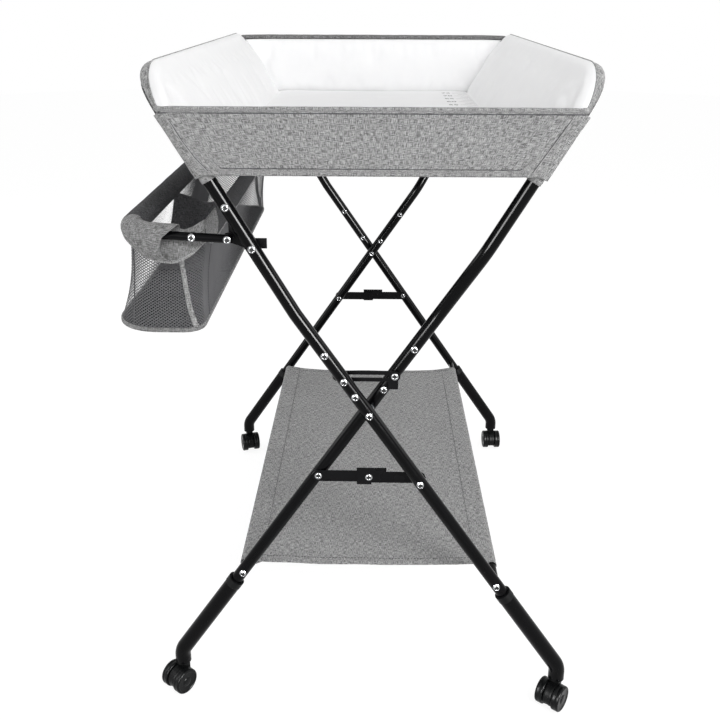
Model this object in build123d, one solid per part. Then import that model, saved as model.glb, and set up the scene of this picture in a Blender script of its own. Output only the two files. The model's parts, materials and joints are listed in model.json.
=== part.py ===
from build123d import *
import math
import os

# Folding changing table. X runs across the table, Y along it, Z up; the origin is on the floor
# under the middle of the two leg crossings. All sizes are millimetres and degrees.

# Frame tubes
TUBE_D = 19.0
TUBE_WALL = 1.2
HALF_LENGTH = 420.0
PIVOT_Z = 507.5
LEG_ANGLE = 34.3
UPPER_BEND = 183.0
RAIL_X = 291.0
RAIL_RISE = 471.5
RAIL_CORNER_R = 60.0
BEND_R = 120.0
JOG_LENGTH = 103.0
JOINT_ABOVE = 74.0

# Fits and small gaps
FIT = 0.06
SLIDE_FIT = 0.12
AIR = 0.3

# Folding braces and the slotted stay, which work in the gap between the two frames
LINK_T = 1.5
LINK_GAP = 1.2
LINK_AIR = 1.4
LINK_H = 18.0
BRACE_BELOW = 133.5
LIP_L = 44.0
LIP_RISE = 5.8
LIP_LEFT = 18.0
LINK_END_L = 22.0
LINK_END_DROP = 3.0
STAY_T = 2.0
STAY_H = 16.0
STAY_ABOVE = 64.0
STAY_TAIL = 9.0
STAY_TAB_W = 14.0
STAY_TAB_OUT = 5.0
STAY_TAB_DROP = 12.0
SLOT_INNER = 11.0

# Bolts and rivets
BOLT_D = 5.0
HEAD_D = 10.5
HEAD_RIM = 0.8
HEAD_DOME = 2.2
PIVOT_BOLT_D = 6.0
SPACER_D = 14.0
JOINT_SLEEVE_HALF = 62.0
JOINT_SLEEVE_WALL = 1.5
BOLT_FROM_JOINT = 38.0

# Leg extensions and casters
EXT_GAP = 1.5
EXT_WALL = 1.5
EXT_LENGTH = 166.0
EXT_BEND_R = 30.0
LEG_END_UP = 40.0
BUSH_L = 20.0
COLLAR_L = 12.0
COLLAR_LIP = 0.5
COLLAR_SPIGOT = 20.0
FOOT_STUB = 19.7
FORK_RISE = 7.0
WHEEL_D = 41.0
WHEEL_W = 12.5
WHEEL_GAP = 15.5
WHEEL_EDGE_R = 2.0
HUB_D = 22.0
HUB_RECESS = 0.8
AXLE_SEAT = 7.5
AXLE_D = 6.0
FORK_AIR = 0.6
FORK_WEB_R = 16.5
TRAIL = 11.0
STEM_D = 10.0
SOCKET_LIP = 1.8
SOCKET_L = 9.5

# Shelf
ROD_D = 12.0
SHELF_RISE = 20.0
SHELF_T = 1.6
SHELF_SAG = 9.0
SHELF_END_GAP = 4.0
ROD_BOLT_L = 24.0

# Tray
SLEEVE_T = 3.0
FOAM_T = 7.5
FOAM_STEP = 40.0
TRAY_DEPTH = 105.0
SKIRT = 18.0
PAD_T = 15.0
PAD_EDGE_R = 5.0
FRONT_DROP = 37.0
REAR_RISE = 11.0
PANEL_T = 10.0

# Basket
BASKET_DROP = 213.0
BASKET_RISE = 8.0
BASKET_TUBE_D = 12.0
BASKET_PIVOT_OUT = 26.0
BASKET_REACH = 138.0
BASKET_CORNER_R = 45.0
BASKET_TAIL = 5.0
BASKET_BOLT_OUT = 48.0
BASKET_SLEEVE_T = 10.5
BASKET_SLEEVE_END = 74.0
BAG_INNER_OUT = 36.0
BAG_DEPTH = 137.0
BAG_FLARE = 37.0
BAG_INNER_FLARE = 14.0
BAG_END_GAP = 20.0
BAG_END_TAPER = 20.0
BAG_TOP_R = 30.0
BAG_BOTTOM_R = 55.0
BAG_WALL = 2.0
BAG_FLOOR = 3.0
DIVIDER_Y = -100.0
DIVIDER_T = 3.0
DIVIDER_DROP = 8.0
DIVIDER_DIP = 10.0
BRACKET_T = 3.0
BRACKET_H = 14.0
BRACKET_STUB = 20.0
BRACKET_STUB_DROP = 9.0
BRACKET_RIVET_UP = 59.0
BRACKET_RIVET_DOWN = 12.0

# How the casters stand: turn of the trail direction about Z
CASTER_TURN = {
    "outer_front": 232.0,
    "outer_rear": 272.0,
    "inner_front": 232.0,
    "inner_rear": 288.0,
}

# Worked-out sizes
R = TUBE_D / 2
FRAME_GAP = 2 * LINK_T + LINK_GAP + 2 * LINK_AIR
INNER_Y = HALF_LENGTH - TUBE_D - FRAME_GAP
GAP_Y = HALF_LENGTH - R - FRAME_GAP / 2
SIN_A = math.sin(math.radians(LEG_ANGLE))
COS_A = math.cos(math.radians(LEG_ANGLE))
RAIL_Z = PIVOT_Z + RAIL_RISE
EXT_D = TUBE_D + 2 * (EXT_GAP + EXT_WALL)
EXT_BORE = EXT_D - 2 * EXT_WALL
TUBE_END_Z = WHEEL_D + FORK_RISE
FOOT_Z = TUBE_END_Z + FOOT_STUB
FOOT_BELOW = (PIVOT_Z - FOOT_Z) / COS_A
EXT_TOP_BELOW = FOOT_BELOW - EXT_LENGTH
SHELF_BELOW = EXT_TOP_BELOW - SHELF_RISE
LEG_END_BELOW = FOOT_BELOW - LEG_END_UP
FORK_T = WHEEL_GAP - 2 * FORK_AIR
FLOOR_Z = RAIL_Z - TRAY_DEPTH
SKIRT_Z = FLOOR_Z - SKIRT
FRONT_TOP_Z = RAIL_Z - FRONT_DROP
REAR_TOP_Z = RAIL_Z + REAR_RISE
BASKET_Z = RAIL_Z - BASKET_DROP


class Frame:
    """One of the two X frames: outer (side 1, left rail) or inner (side -1, right rail)."""

    def __init__(self, name, side, leg_y):
        self.name = name
        self.side = side
        self.leg_y = leg_y
        self.bend = self.point(UPPER_BEND, 0)
        self.rail = Vector(-side * RAIL_X, 0, RAIL_Z)
        self.up = (self.rail - self.bend).normalized()
        self.into_tray = Vector(side * self.up.Z, 0, abs(self.up.X))

    def point(self, along, y):
        """A point on the lower leg's axis, measured up from the pivot."""
        return Vector(-self.side * along * SIN_A, y, PIVOT_Z + along * COS_A)

    def upper_x(self, z):
        """Where the upper tube's axis stands at height z."""
        return self.rail.X + self.up.X / self.up.Z * (z - RAIL_Z)

    def rail_points(self):
        """Corner points and bend radii of the U-shaped top rail."""
        jog_end = self.bend + self.up * JOG_LENGTH
        half = [
            self.point(JOINT_ABOVE, -self.leg_y),
            self.point(UPPER_BEND, -self.leg_y),
        ]
        radii = [BEND_R]
        if self.leg_y < HALF_LENGTH:
            half.append(Vector(jog_end.X, -HALF_LENGTH, jog_end.Z))
            radii.append(BEND_R)
        half.append(Vector(self.rail.X, -HALF_LENGTH, RAIL_Z))
        radii.append(RAIL_CORNER_R)
        other = [Vector(p.X, -p.Y, p.Z) for p in reversed(half)]
        return half + other, radii + radii[::-1]


OUTER = Frame("outer", 1, HALF_LENGTH)
INNER = Frame("inner", -1, INNER_Y)
ENDS = {"front": -1, "rear": 1}


def save(name, shape):
    """Writes one node."""
    export_step(shape, f"parts/{name}.step")


def group(solids):
    """Several separate solids as one node."""
    return Compound(children=list(solids))


def rod(start, stop, radius):
    """A round bar from one point to another."""
    start = Vector(start)
    stop = Vector(stop)
    span = stop - start
    return Plane(origin=start + span * 0.5, z_dir=span) * Cylinder(radius, span.length)


def cross_bar(x, z, y_from, y_to, radius):
    """A round bar along Y."""
    return rod((x, min(y_from, y_to), z), (x, max(y_from, y_to), z), radius)


def swept(points, radii, radius):
    """A round bar bent along corner points."""
    path = FilletPolyline(*points, radius=radii)
    return sweep(Plane(origin=path @ 0, z_dir=path % 0) * Circle(radius), path=path)


def plate(face, y_from, y_to):
    """A face drawn in X and Z, as a plate between two Y values."""
    middle = (y_from + y_to) / 2
    return extrude(Plane.XZ.offset(-middle) * face, abs(y_to - y_from) / 2, both=True)


def bar_face(a, b, height):
    """A round-ended bar between two points, drawn in X and Z."""
    dx = b.X - a.X
    dz = b.Z - a.Z
    turn = math.degrees(math.atan2(dz, dx))
    middle = Pos((a.X + b.X) / 2, (a.Z + b.Z) / 2)
    return middle * Rot(0, 0, turn) * SlotCenterToCenter(math.hypot(dx, dz), height)


def domed_head(radius, rim, dome):
    """A low dome on a straight rim, base at the origin, along +Z."""
    ball = (radius**2 + dome**2) / (2 * dome)
    half = math.asin(radius / ball) / 2
    top = rim + dome
    arc = ThreePointArc(
        (radius, rim), (ball * math.sin(half), top - ball + ball * math.cos(half)), (0, top)
    )
    outline = [Line((0, 0), (radius, 0)), Line((radius, 0), (radius, rim)), arc, Line((0, top), (0, 0))]
    return revolve(Plane.XZ * make_face(outline), Axis.Z)


def saddle_head(point, along, outward, tube_r):
    """A domed head whose underside fits the tube that it sits on."""
    seat = tube_r * (1 - math.sqrt(max(0.0, 1 - (HEAD_D / 2 / tube_r) ** 2)))
    head = domed_head(HEAD_D / 2, seat + HEAD_RIM, HEAD_DOME)
    head = Pos(point.X, point.Y + outward * (tube_r - seat), point.Z) * Rot(-90 * outward, 0, 0) * head
    return head - rod(point - along * HEAD_D, point + along * HEAD_D, tube_r + FIT)


def tube_bolt(point, along, tube_r, shank_r):
    """A bolt through one tube along Y, with a domed head on each side."""
    reach = tube_r + HEAD_RIM
    shank = cross_bar(point.X, point.Z, point.Y - reach, point.Y + reach, shank_r)
    return shank + saddle_head(point, along, -1, tube_r) + saddle_head(point, along, 1, tube_r)


def drill(shape, holes):
    """Cuts holes along Y, each given as a point, a half length and a radius."""
    for point, half, radius in holes:
        shape = shape - cross_bar(point.X, point.Z, point.Y - half, point.Y + half, radius)
    return shape


def leg_along(frame):
    """Unit vector up the lower leg."""
    return (frame.point(1, 0) - frame.point(0, 0)).normalized()


def joint_bolt_points(frame, end):
    """Where the two joint bolts of one leg stand."""
    y = end * frame.leg_y
    return [frame.point(JOINT_ABOVE + step, y) for step in (-BOLT_FROM_JOINT, BOLT_FROM_JOINT)]


def bracket_points(end):
    """The two rivets of a basket bracket, on the outer frame's upper tube."""
    points = []
    for z in (BASKET_Z + BRACKET_RIVET_UP - BRACKET_H, BASKET_Z - BRACKET_RIVET_DOWN):
        points.append(Vector(OUTER.upper_x(z), end * HALF_LENGTH, z))
    return points


def build_rails():
    """The two U-shaped top rails."""
    for frame in (OUTER, INNER):
        points, radii = frame.rail_points()
        rail = swept(points, radii, R) - swept(points, radii, R - TUBE_WALL)
        holes = []
        for end in ENDS.values():
            holes.append((joint_bolt_points(frame, end)[1], TUBE_D, BOLT_D / 2 + FIT))
            if frame is OUTER:
                holes += [(p, TUBE_D, BOLT_D / 2 + FIT) for p in bracket_points(end)]
        save(f"{frame.name}_top_rail", drill(rail, holes))


def build_legs():
    """Lower legs with their joint sleeves, joint bolts and end bushes."""
    for frame in (OUTER, INNER):
        sleeves = []
        bolts = []
        bushes = []
        along = leg_along(frame)
        sleeve_r = R - TUBE_WALL - FIT
        for end_name, end in ENDS.items():
            y = end * frame.leg_y
            top = frame.point(JOINT_ABOVE - AIR, y)
            low = frame.point(-LEG_END_BELOW, y)
            leg = rod(top, low, R) - rod(top, low, R - TUBE_WALL)
            holes = [
                (frame.point(0, y), TUBE_D, PIVOT_BOLT_D / 2 + FIT),
                (frame.point(-BRACE_BELOW, y), TUBE_D, BOLT_D / 2 + FIT),
                (frame.point(-SHELF_BELOW, y), TUBE_D, PIVOT_BOLT_D / 2 + FIT),
                (joint_bolt_points(frame, end)[0], TUBE_D, BOLT_D / 2 + FIT),
            ]
            if end_name == "front":
                holes.append((frame.point(STAY_ABOVE, y), TUBE_D, BOLT_D / 2 + FIT))
            save(f"{frame.name}_{end_name}_leg", drill(leg, holes))

            ends = [frame.point(JOINT_ABOVE + step * JOINT_SLEEVE_HALF, y) for step in (-1, 1)]
            sleeve = rod(*ends, sleeve_r) - rod(*ends, sleeve_r - JOINT_SLEEVE_WALL)
            pierced = [(p, TUBE_D, BOLT_D / 2 + FIT) for p in joint_bolt_points(frame, end)]
            if end_name == "front":
                pierced.append((frame.point(STAY_ABOVE, y), TUBE_D, BOLT_D / 2 + FIT))
            sleeves.append(drill(sleeve, pierced))

            for point in joint_bolt_points(frame, end):
                bolts.append(tube_bolt(point, along, R, BOLT_D / 2))

            bush_top = low + along * BUSH_L
            cap = low - along * EXT_WALL
            bush = rod(cap, bush_top, EXT_BORE / 2 - SLIDE_FIT)
            bushes.append(bush - rod(low - along * FIT, bush_top, R + FIT))
        save(f"{frame.name}_joint_sleeves", group(sleeves))
        save(f"{frame.name}_joint_bolts", group(bolts))
        save(f"{frame.name}_leg_bushes", group(bushes))


def build_pivots():
    """The two bolts that the frames fold on, with the spacers that hold the frames apart."""
    bolts = []
    spacers = []
    for end in ENDS.values():
        outer = OUTER.point(0, end * HALF_LENGTH)
        shank = cross_bar(
            0, PIVOT_Z, end * (HALF_LENGTH + R + HEAD_RIM), end * (INNER_Y - R - HEAD_RIM), PIVOT_BOLT_D / 2
        )
        head = saddle_head(outer, leg_along(OUTER), end, R)
        nut = domed_head(HEAD_D / 2, HEAD_RIM, HEAD_DOME)
        nut = Pos(0, end * (INNER_Y - R - FIT), PIVOT_Z) * Rot(90 * end, 0, 0) * nut
        bolts.append(shank + head + nut)
        near = end * (HALF_LENGTH - R - FIT)
        far = end * (INNER_Y + R + FIT)
        spacer = cross_bar(0, PIVOT_Z, near, far, SPACER_D / 2)
        spacers.append(spacer - cross_bar(0, PIVOT_Z, near, far, PIVOT_BOLT_D / 2 + FIT))
    save("pivot_bolts", group(bolts))
    save("pivot_spacers", group(spacers))


def build_shelf():
    """Cross rods, their end bolts and the fabric panel that hangs between them."""
    for frame, rod_name in ((OUTER, "right_shelf_rod"), (INNER, "left_shelf_rod")):
        at = frame.point(-SHELF_BELOW, 0)
        reach = frame.leg_y - R - FIT
        bar = cross_bar(at.X, at.Z, -reach, reach, ROD_D / 2)
        bolts = []
        for end in ENDS.values():
            inner_end = end * (reach - ROD_BOLT_L)
            outer_end = end * (frame.leg_y + R + HEAD_RIM)
            bore = cross_bar(at.X, at.Z, end * (reach - ROD_BOLT_L - AIR), outer_end, PIVOT_BOLT_D / 2 + FIT)
            bar = bar - bore
            shank = cross_bar(at.X, at.Z, inner_end, outer_end, PIVOT_BOLT_D / 2)
            seat = Vector(at.X, end * frame.leg_y, at.Z)
            bolts.append(shank + saddle_head(seat, leg_along(frame), end, R))
        save(rod_name, bar)
        save(f"{frame.name}_rod_bolts", group(bolts))

    right = OUTER.point(-SHELF_BELOW, 0)
    left = INNER.point(-SHELF_BELOW, 0)
    pocket = ROD_D / 2 + AIR
    skin = pocket + SHELF_T
    top = right.Z + skin
    low = top - SHELF_T
    upper = ThreePointArc((left.X, top), (0, top - SHELF_SAG), (right.X, top))
    lower = ThreePointArc((right.X, low), (0, low - SHELF_SAG), (left.X, low))
    band = make_face([upper, Line((right.X, top), (right.X, low)), lower, Line((left.X, low), (left.X, top))])
    outline = band + Pos(left.X, left.Z) * Circle(skin) + Pos(right.X, right.Z) * Circle(skin)
    outline = outline - Pos(left.X, left.Z) * Circle(pocket) - Pos(right.X, right.Z) * Circle(pocket)
    half = INNER_Y - R - SHELF_END_GAP
    save("shelf_panel", plate(outline, -half, half))


def build_braces():
    """Folding brace links under the pivots, each pair meeting at a centre rivet."""
    outer_near = GAP_Y + LINK_GAP / 2
    outer_far = outer_near + LINK_T
    inner_far = GAP_Y - LINK_GAP / 2
    inner_near = inner_far - LINK_T
    at_outer = OUTER.point(-BRACE_BELOW, 0)
    at_inner = INNER.point(-BRACE_BELOW, 0)
    centre = Vector(0, 0, at_outer.Z)
    hole = Circle(BOLT_D / 2 + FIT)
    lip_z = centre.Z + LINK_H / 2
    lip_x = LIP_L / 2 - LIP_LEFT
    lip = Pos(lip_x, lip_z + LIP_RISE / 2 - AIR) * Rectangle(LIP_L, LIP_RISE + 2 * AIR)
    end_h = LINK_H + LINK_END_DROP + AIR
    lip = lip + Pos(LINK_END_L / 2 - LIP_LEFT, lip_z - end_h / 2 + AIR) * Rectangle(LINK_END_L, end_h)
    for end_name, end in ENDS.items():
        face = bar_face(centre, at_outer, LINK_H) - Pos(at_outer.X, at_outer.Z) * hole + lip
        face = face - Pos(0, centre.Z) * hole
        link = plate(face, end * outer_near, end * outer_far)
        fold = Pos(lip_x, lip_z + LIP_RISE - LINK_T / 2) * Rectangle(LIP_L, LINK_T)
        link = link + plate(fold, end * (inner_far + AIR), end * outer_near)
        save(f"{end_name}_outer_brace", link)

        face = bar_face(at_inner, centre, LINK_H) - Pos(at_inner.X, at_inner.Z) * hole
        save(f"{end_name}_inner_brace", plate(face, end * inner_near, end * inner_far))

        head_r = HEAD_D / 2
        shank = cross_bar(0, centre.Z, end * (outer_near - LINK_GAP / 2), end * (outer_far + FIT), BOLT_D / 2)
        head = domed_head(head_r, (LINK_AIR - AIR) / 2, (LINK_AIR - AIR) / 2)
        head = Pos(0, end * (outer_far + FIT), centre.Z) * Rot(-90 * end, 0, 0) * head
        save(f"{end_name}_brace_rivet", shank + head)


def build_stay():
    """The slotted stay above the front pivot: it turns on the inner leg and slides on the outer leg's pin."""
    at_inner = INNER.point(STAY_ABOVE, 0)
    at_outer = OUTER.point(STAY_ABOVE, 0)
    tail = at_outer - Vector(STAY_TAIL, 0, 0)
    face = bar_face(tail, at_inner, STAY_H)
    slot_end = at_inner - Vector(SLOT_INNER, 0, 0)
    face = face - bar_face(at_outer, slot_end, BOLT_D + 2 * FIT)
    face = face - Pos(at_inner.X, at_inner.Z) * Circle(BOLT_D / 2 + FIT)
    near = -(GAP_Y - STAY_T / 2)
    far = -(GAP_Y + STAY_T / 2)
    tab_h = STAY_H / 2 + STAY_TAB_DROP
    tab = Pos(at_inner.X + STAY_TAB_OUT - STAY_TAB_W / 2, at_inner.Z - tab_h / 2) * Rectangle(STAY_TAB_W, tab_h)
    face = face + (tab - Pos(at_inner.X, at_inner.Z) * Circle(BOLT_D / 2 + FIT))
    save("slotted_stay", plate(face, near, far))


def link_rivet(frame, point, end, past):
    """A rivet through a leg that carries a plate on the gap side, with its tail beyond the plate."""
    toward = 1 if past > frame.leg_y else -1
    free = end * (frame.leg_y - toward * (R + HEAD_RIM))
    tip = end * past
    shank = cross_bar(point.X, point.Z, free, tip, BOLT_D / 2)
    seat = Vector(point.X, end * frame.leg_y, point.Z)
    return shank + saddle_head(seat, leg_along(frame), -end * toward, R)


def build_rivets():
    """Rivets of the braces, the stay, the basket brackets and the basket pivots."""
    tail = LINK_GAP - AIR
    outer_face = GAP_Y + LINK_GAP / 2 - FIT
    inner_face = GAP_Y - LINK_GAP / 2 + FIT
    outer = []
    inner = []
    for end in ENDS.values():
        at = OUTER.point(-BRACE_BELOW, 0)
        knob = cross_bar(at.X, at.Z, end * outer_face, end * (outer_face - tail + FIT), HEAD_D / 2)
        outer.append(link_rivet(OUTER, at, end, outer_face - tail + FIT) + knob)
        at = INNER.point(-BRACE_BELOW, 0)
        knob = cross_bar(at.X, at.Z, end * inner_face, end * (inner_face + tail - FIT), HEAD_D / 2)
        inner.append(link_rivet(INNER, at, end, inner_face + tail - FIT) + knob)

        plate_face = HALF_LENGTH - R - AIR - BRACKET_T - FIT
        for point in bracket_points(end):
            seat = Vector(point.X, point.Y, point.Z)
            shank = cross_bar(point.X, point.Z, end * (HALF_LENGTH + R + HEAD_RIM), end * plate_face, BOLT_D / 2)
            head = saddle_head(seat, OUTER.up, end, R)
            knob = domed_head(HEAD_D / 2, HEAD_RIM, HEAD_DOME)
            knob = Pos(point.X, end * plate_face, point.Z) * Rot(90 * end, 0, 0) * knob
            outer.append(shank + head + knob)

        pivot = basket_pivot(end)
        far = HALF_LENGTH + BASKET_TUBE_D / 2 + FIT
        shank = cross_bar(pivot.X, pivot.Z, end * (far + HEAD_RIM), end * plate_face, PIVOT_BOLT_D / 2)
        head = domed_head(HEAD_D / 2, HEAD_RIM, HEAD_DOME)
        head = Pos(pivot.X, end * far, pivot.Z) * Rot(-90 * end, 0, 0) * head
        knob = domed_head(HEAD_D / 2, HEAD_RIM, HEAD_DOME)
        knob = Pos(pivot.X, end * plate_face, pivot.Z) * Rot(90 * end, 0, 0) * knob
        outer.append(shank + head + knob)

    at = OUTER.point(STAY_ABOVE, 0)
    outer.append(link_rivet(OUTER, at, -1, GAP_Y - STAY_T / 2 - LINK_AIR / 2))
    at = INNER.point(STAY_ABOVE, 0)
    stay_face = GAP_Y + STAY_T / 2 + FIT
    knob = cross_bar(at.X, at.Z, -stay_face, -(stay_face + LINK_AIR), HEAD_D / 2)
    inner.append(link_rivet(INNER, at, -1, stay_face + LINK_AIR) + knob)
    save("outer_rivets", group(outer))
    save("inner_rivets", group(inner))


def build_extensions():
    """Bent sleeves that slide on the legs, with their collars and caster sockets."""
    for frame in (OUTER, INNER):
        along = leg_along(frame)
        for end_name, end in ENDS.items():
            name = f"{frame.name}_{end_name}"
            y = end * frame.leg_y
            top = frame.point(-EXT_TOP_BELOW - COLLAR_L, y)
            foot = frame.point(-FOOT_BELOW, y)
            bottom = Vector(foot.X, y, TUBE_END_Z)
            points = [top, foot, bottom]
            tube = swept(points, [EXT_BEND_R], EXT_D / 2) - swept(points, [EXT_BEND_R], EXT_BORE / 2)
            save(f"{name}_extension", tube)

            collar_top = frame.point(-EXT_TOP_BELOW, y)
            spigot_end = top - along * COLLAR_SPIGOT
            collar = rod(collar_top, top + along * FIT, EXT_D / 2 + COLLAR_LIP)
            collar = collar + rod(collar_top, spigot_end, EXT_BORE / 2 - FIT)
            save(f"{name}_collar", collar - rod(collar_top, spigot_end, R + SLIDE_FIT))

            lip = Vector(0, 0, SOCKET_LIP)
            rim = rod(bottom - lip, bottom - Vector(0, 0, FIT), EXT_D / 2)
            plug = rod(bottom - lip, bottom + Vector(0, 0, SOCKET_L), EXT_BORE / 2 - FIT)
            bore = rod(bottom - lip, bottom + Vector(0, 0, SOCKET_L), STEM_D / 2 + FIT)
            save(f"{name}_caster_socket", rim + plug - bore)
            build_caster(name, foot.X, y)


def build_caster(name, x, y):
    """A twin-wheel caster: fork with stem, and two wheels on one axle."""
    place = Pos(x, y, 0) * Rot(0, 0, CASTER_TURN[name])
    axle_z = WHEEL_D / 2
    neck_top = TUBE_END_Z - SOCKET_LIP - AIR
    web = Pos(TRAIL, axle_z) * Circle(FORK_WEB_R)
    web = web + Pos(0, (axle_z + neck_top) / 2) * Rectangle(FORK_T, neck_top - axle_z)
    fork = plate(web, -FORK_T / 2, FORK_T / 2)
    fork = fork & Pos(0, 0, neck_top / 2) * Box(2 * WHEEL_D, FORK_T, neck_top)
    neck_side = Pos(0, 0, neck_top) * Box(2 * FORK_T, FORK_T, FORK_RISE)
    fork = fork - (neck_side - rod((0, 0, 0), (0, 0, 2 * neck_top), FORK_T / 2))
    fork = fork + rod((0, 0, neck_top - AIR), (0, 0, TUBE_END_Z + SOCKET_L), STEM_D / 2)
    fork = fork - cross_bar(TRAIL, axle_z, -FORK_T, FORK_T, AXLE_D / 2 + FIT)
    save(f"{name}_caster_fork", place * fork)

    inner_face = WHEEL_GAP / 2
    outer_face = inner_face + WHEEL_W
    pieces = []
    for hand in (-1, 1):
        wheel = cross_bar(TRAIL, axle_z, hand * inner_face, hand * outer_face, WHEEL_D / 2)
        wheel = fillet(wheel.edges().filter_by(GeomType.CIRCLE), WHEEL_EDGE_R)
        recess = cross_bar(TRAIL, axle_z, hand * (outer_face - HUB_RECESS), hand * outer_face, HUB_D / 2)
        seat = hand * (inner_face + AXLE_SEAT + FIT)
        bore = cross_bar(TRAIL, axle_z, 0, seat, AXLE_D / 2 + FIT)
        pieces.append(place * (wheel - recess - bore))
    axle_end = inner_face + AXLE_SEAT
    pieces.append(place * cross_bar(TRAIL, axle_z, -axle_end, axle_end, AXLE_D / 2))
    save(f"{name}_caster_wheels", group(pieces))


def wall_line(frame, offset, z):
    """Where a plane parallel to the tray wall, set off towards the tray, stands at height z."""
    start = frame.rail + frame.into_tray * offset
    return start.X + frame.up.X / frame.up.Z * (z - start.Z)


def build_tray():
    """Padded walls round the two rails, end panels and the floor pad."""
    skin = R + SLEEVE_T
    foam = skin + FOAM_T
    for frame, name in ((OUTER, "left_tray_wall"), (INNER, "right_tray_wall")):
        bottom = (SKIRT_Z - RAIL_Z) / frame.up.Z
        section = [
            Line((bottom, -skin), (0, -skin)),
            ThreePointArc((0, -skin), (skin, 0), (0, skin)),
            Line((0, skin), (-FOAM_STEP, foam)),
            Line((-FOAM_STEP, foam), (bottom, foam)),
            Line((bottom, foam), (bottom, -skin)),
        ]
        across = Plane(origin=frame.rail, x_dir=frame.up, z_dir=frame.up.cross(frame.into_tray))
        half = HALF_LENGTH + skin
        slab = extrude(across * make_face(section), half, both=True)
        corner = RAIL_CORNER_R + skin
        rounded = FilletPolyline(
            (bottom, -half), (skin, -half), (skin, half), (bottom, half), radius=corner
        )
        outline = make_face([*rounded.edges(), Line((bottom, half), (bottom, -half))])
        flat = Plane(origin=frame.rail, x_dir=frame.up, z_dir=frame.into_tray)
        slab = slab & extrude(flat * outline, foam + skin, both=True)
        points, radii = frame.rail_points()
        save(name, slab - swept(points, radii, R + AIR))

    gap = foam + AIR
    front = HALF_LENGTH + skin
    for name, end, top in (("front", -1, FRONT_TOP_Z), ("rear", 1, REAR_TOP_Z)):
        half_low = wall_line(INNER, gap, SKIRT_Z)
        half_top = wall_line(INNER, gap, top)
        panel = make_face(
            Polyline((-half_low, SKIRT_Z), (half_low, SKIRT_Z), (half_top, top), (-half_top, top), close=True)
        )
        save(f"{name}_end_panel", plate(panel, end * front, end * (front - PANEL_T)))

    pad_low = FLOOR_Z - PAD_T
    half_low = wall_line(INNER, gap, pad_low)
    half_top = wall_line(INNER, gap, FLOOR_Z)
    pad = make_face(
        Polyline((-half_low, pad_low), (half_low, pad_low), (half_top, FLOOR_Z), (-half_top, FLOOR_Z), close=True)
    )
    reach = front - PANEL_T - AIR
    pad = plate(pad, -reach, reach)
    top_edges = pad.faces().sort_by(Axis.Z)[-1].edges()
    save("tray_floor_pad", fillet(top_edges, min(PAD_EDGE_R, PAD_T / 2)))


def basket_pivot(end):
    """The point that a basket arm turns on."""
    return Vector(OUTER.upper_x(BASKET_Z) - BASKET_PIVOT_OUT, end * HALF_LENGTH, BASKET_Z)


def arm_point(out, end):
    """A point on a basket arm's axis, measured outwards from its pivot; the arm rises towards the rim."""
    pivot = basket_pivot(end)
    return Vector(pivot.X - out, pivot.Y, pivot.Z + BASKET_RISE / BASKET_REACH * out)


def bag_face(z, x_out, x_in, half, corner, shrink):
    """A rounded rectangle of the bag at height z."""
    width = x_in - x_out - 2 * shrink
    middle = (x_in + x_out) / 2
    return Pos(middle, 0, z) * RectangleRounded(width, 2 * (half - shrink), corner - shrink)


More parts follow.
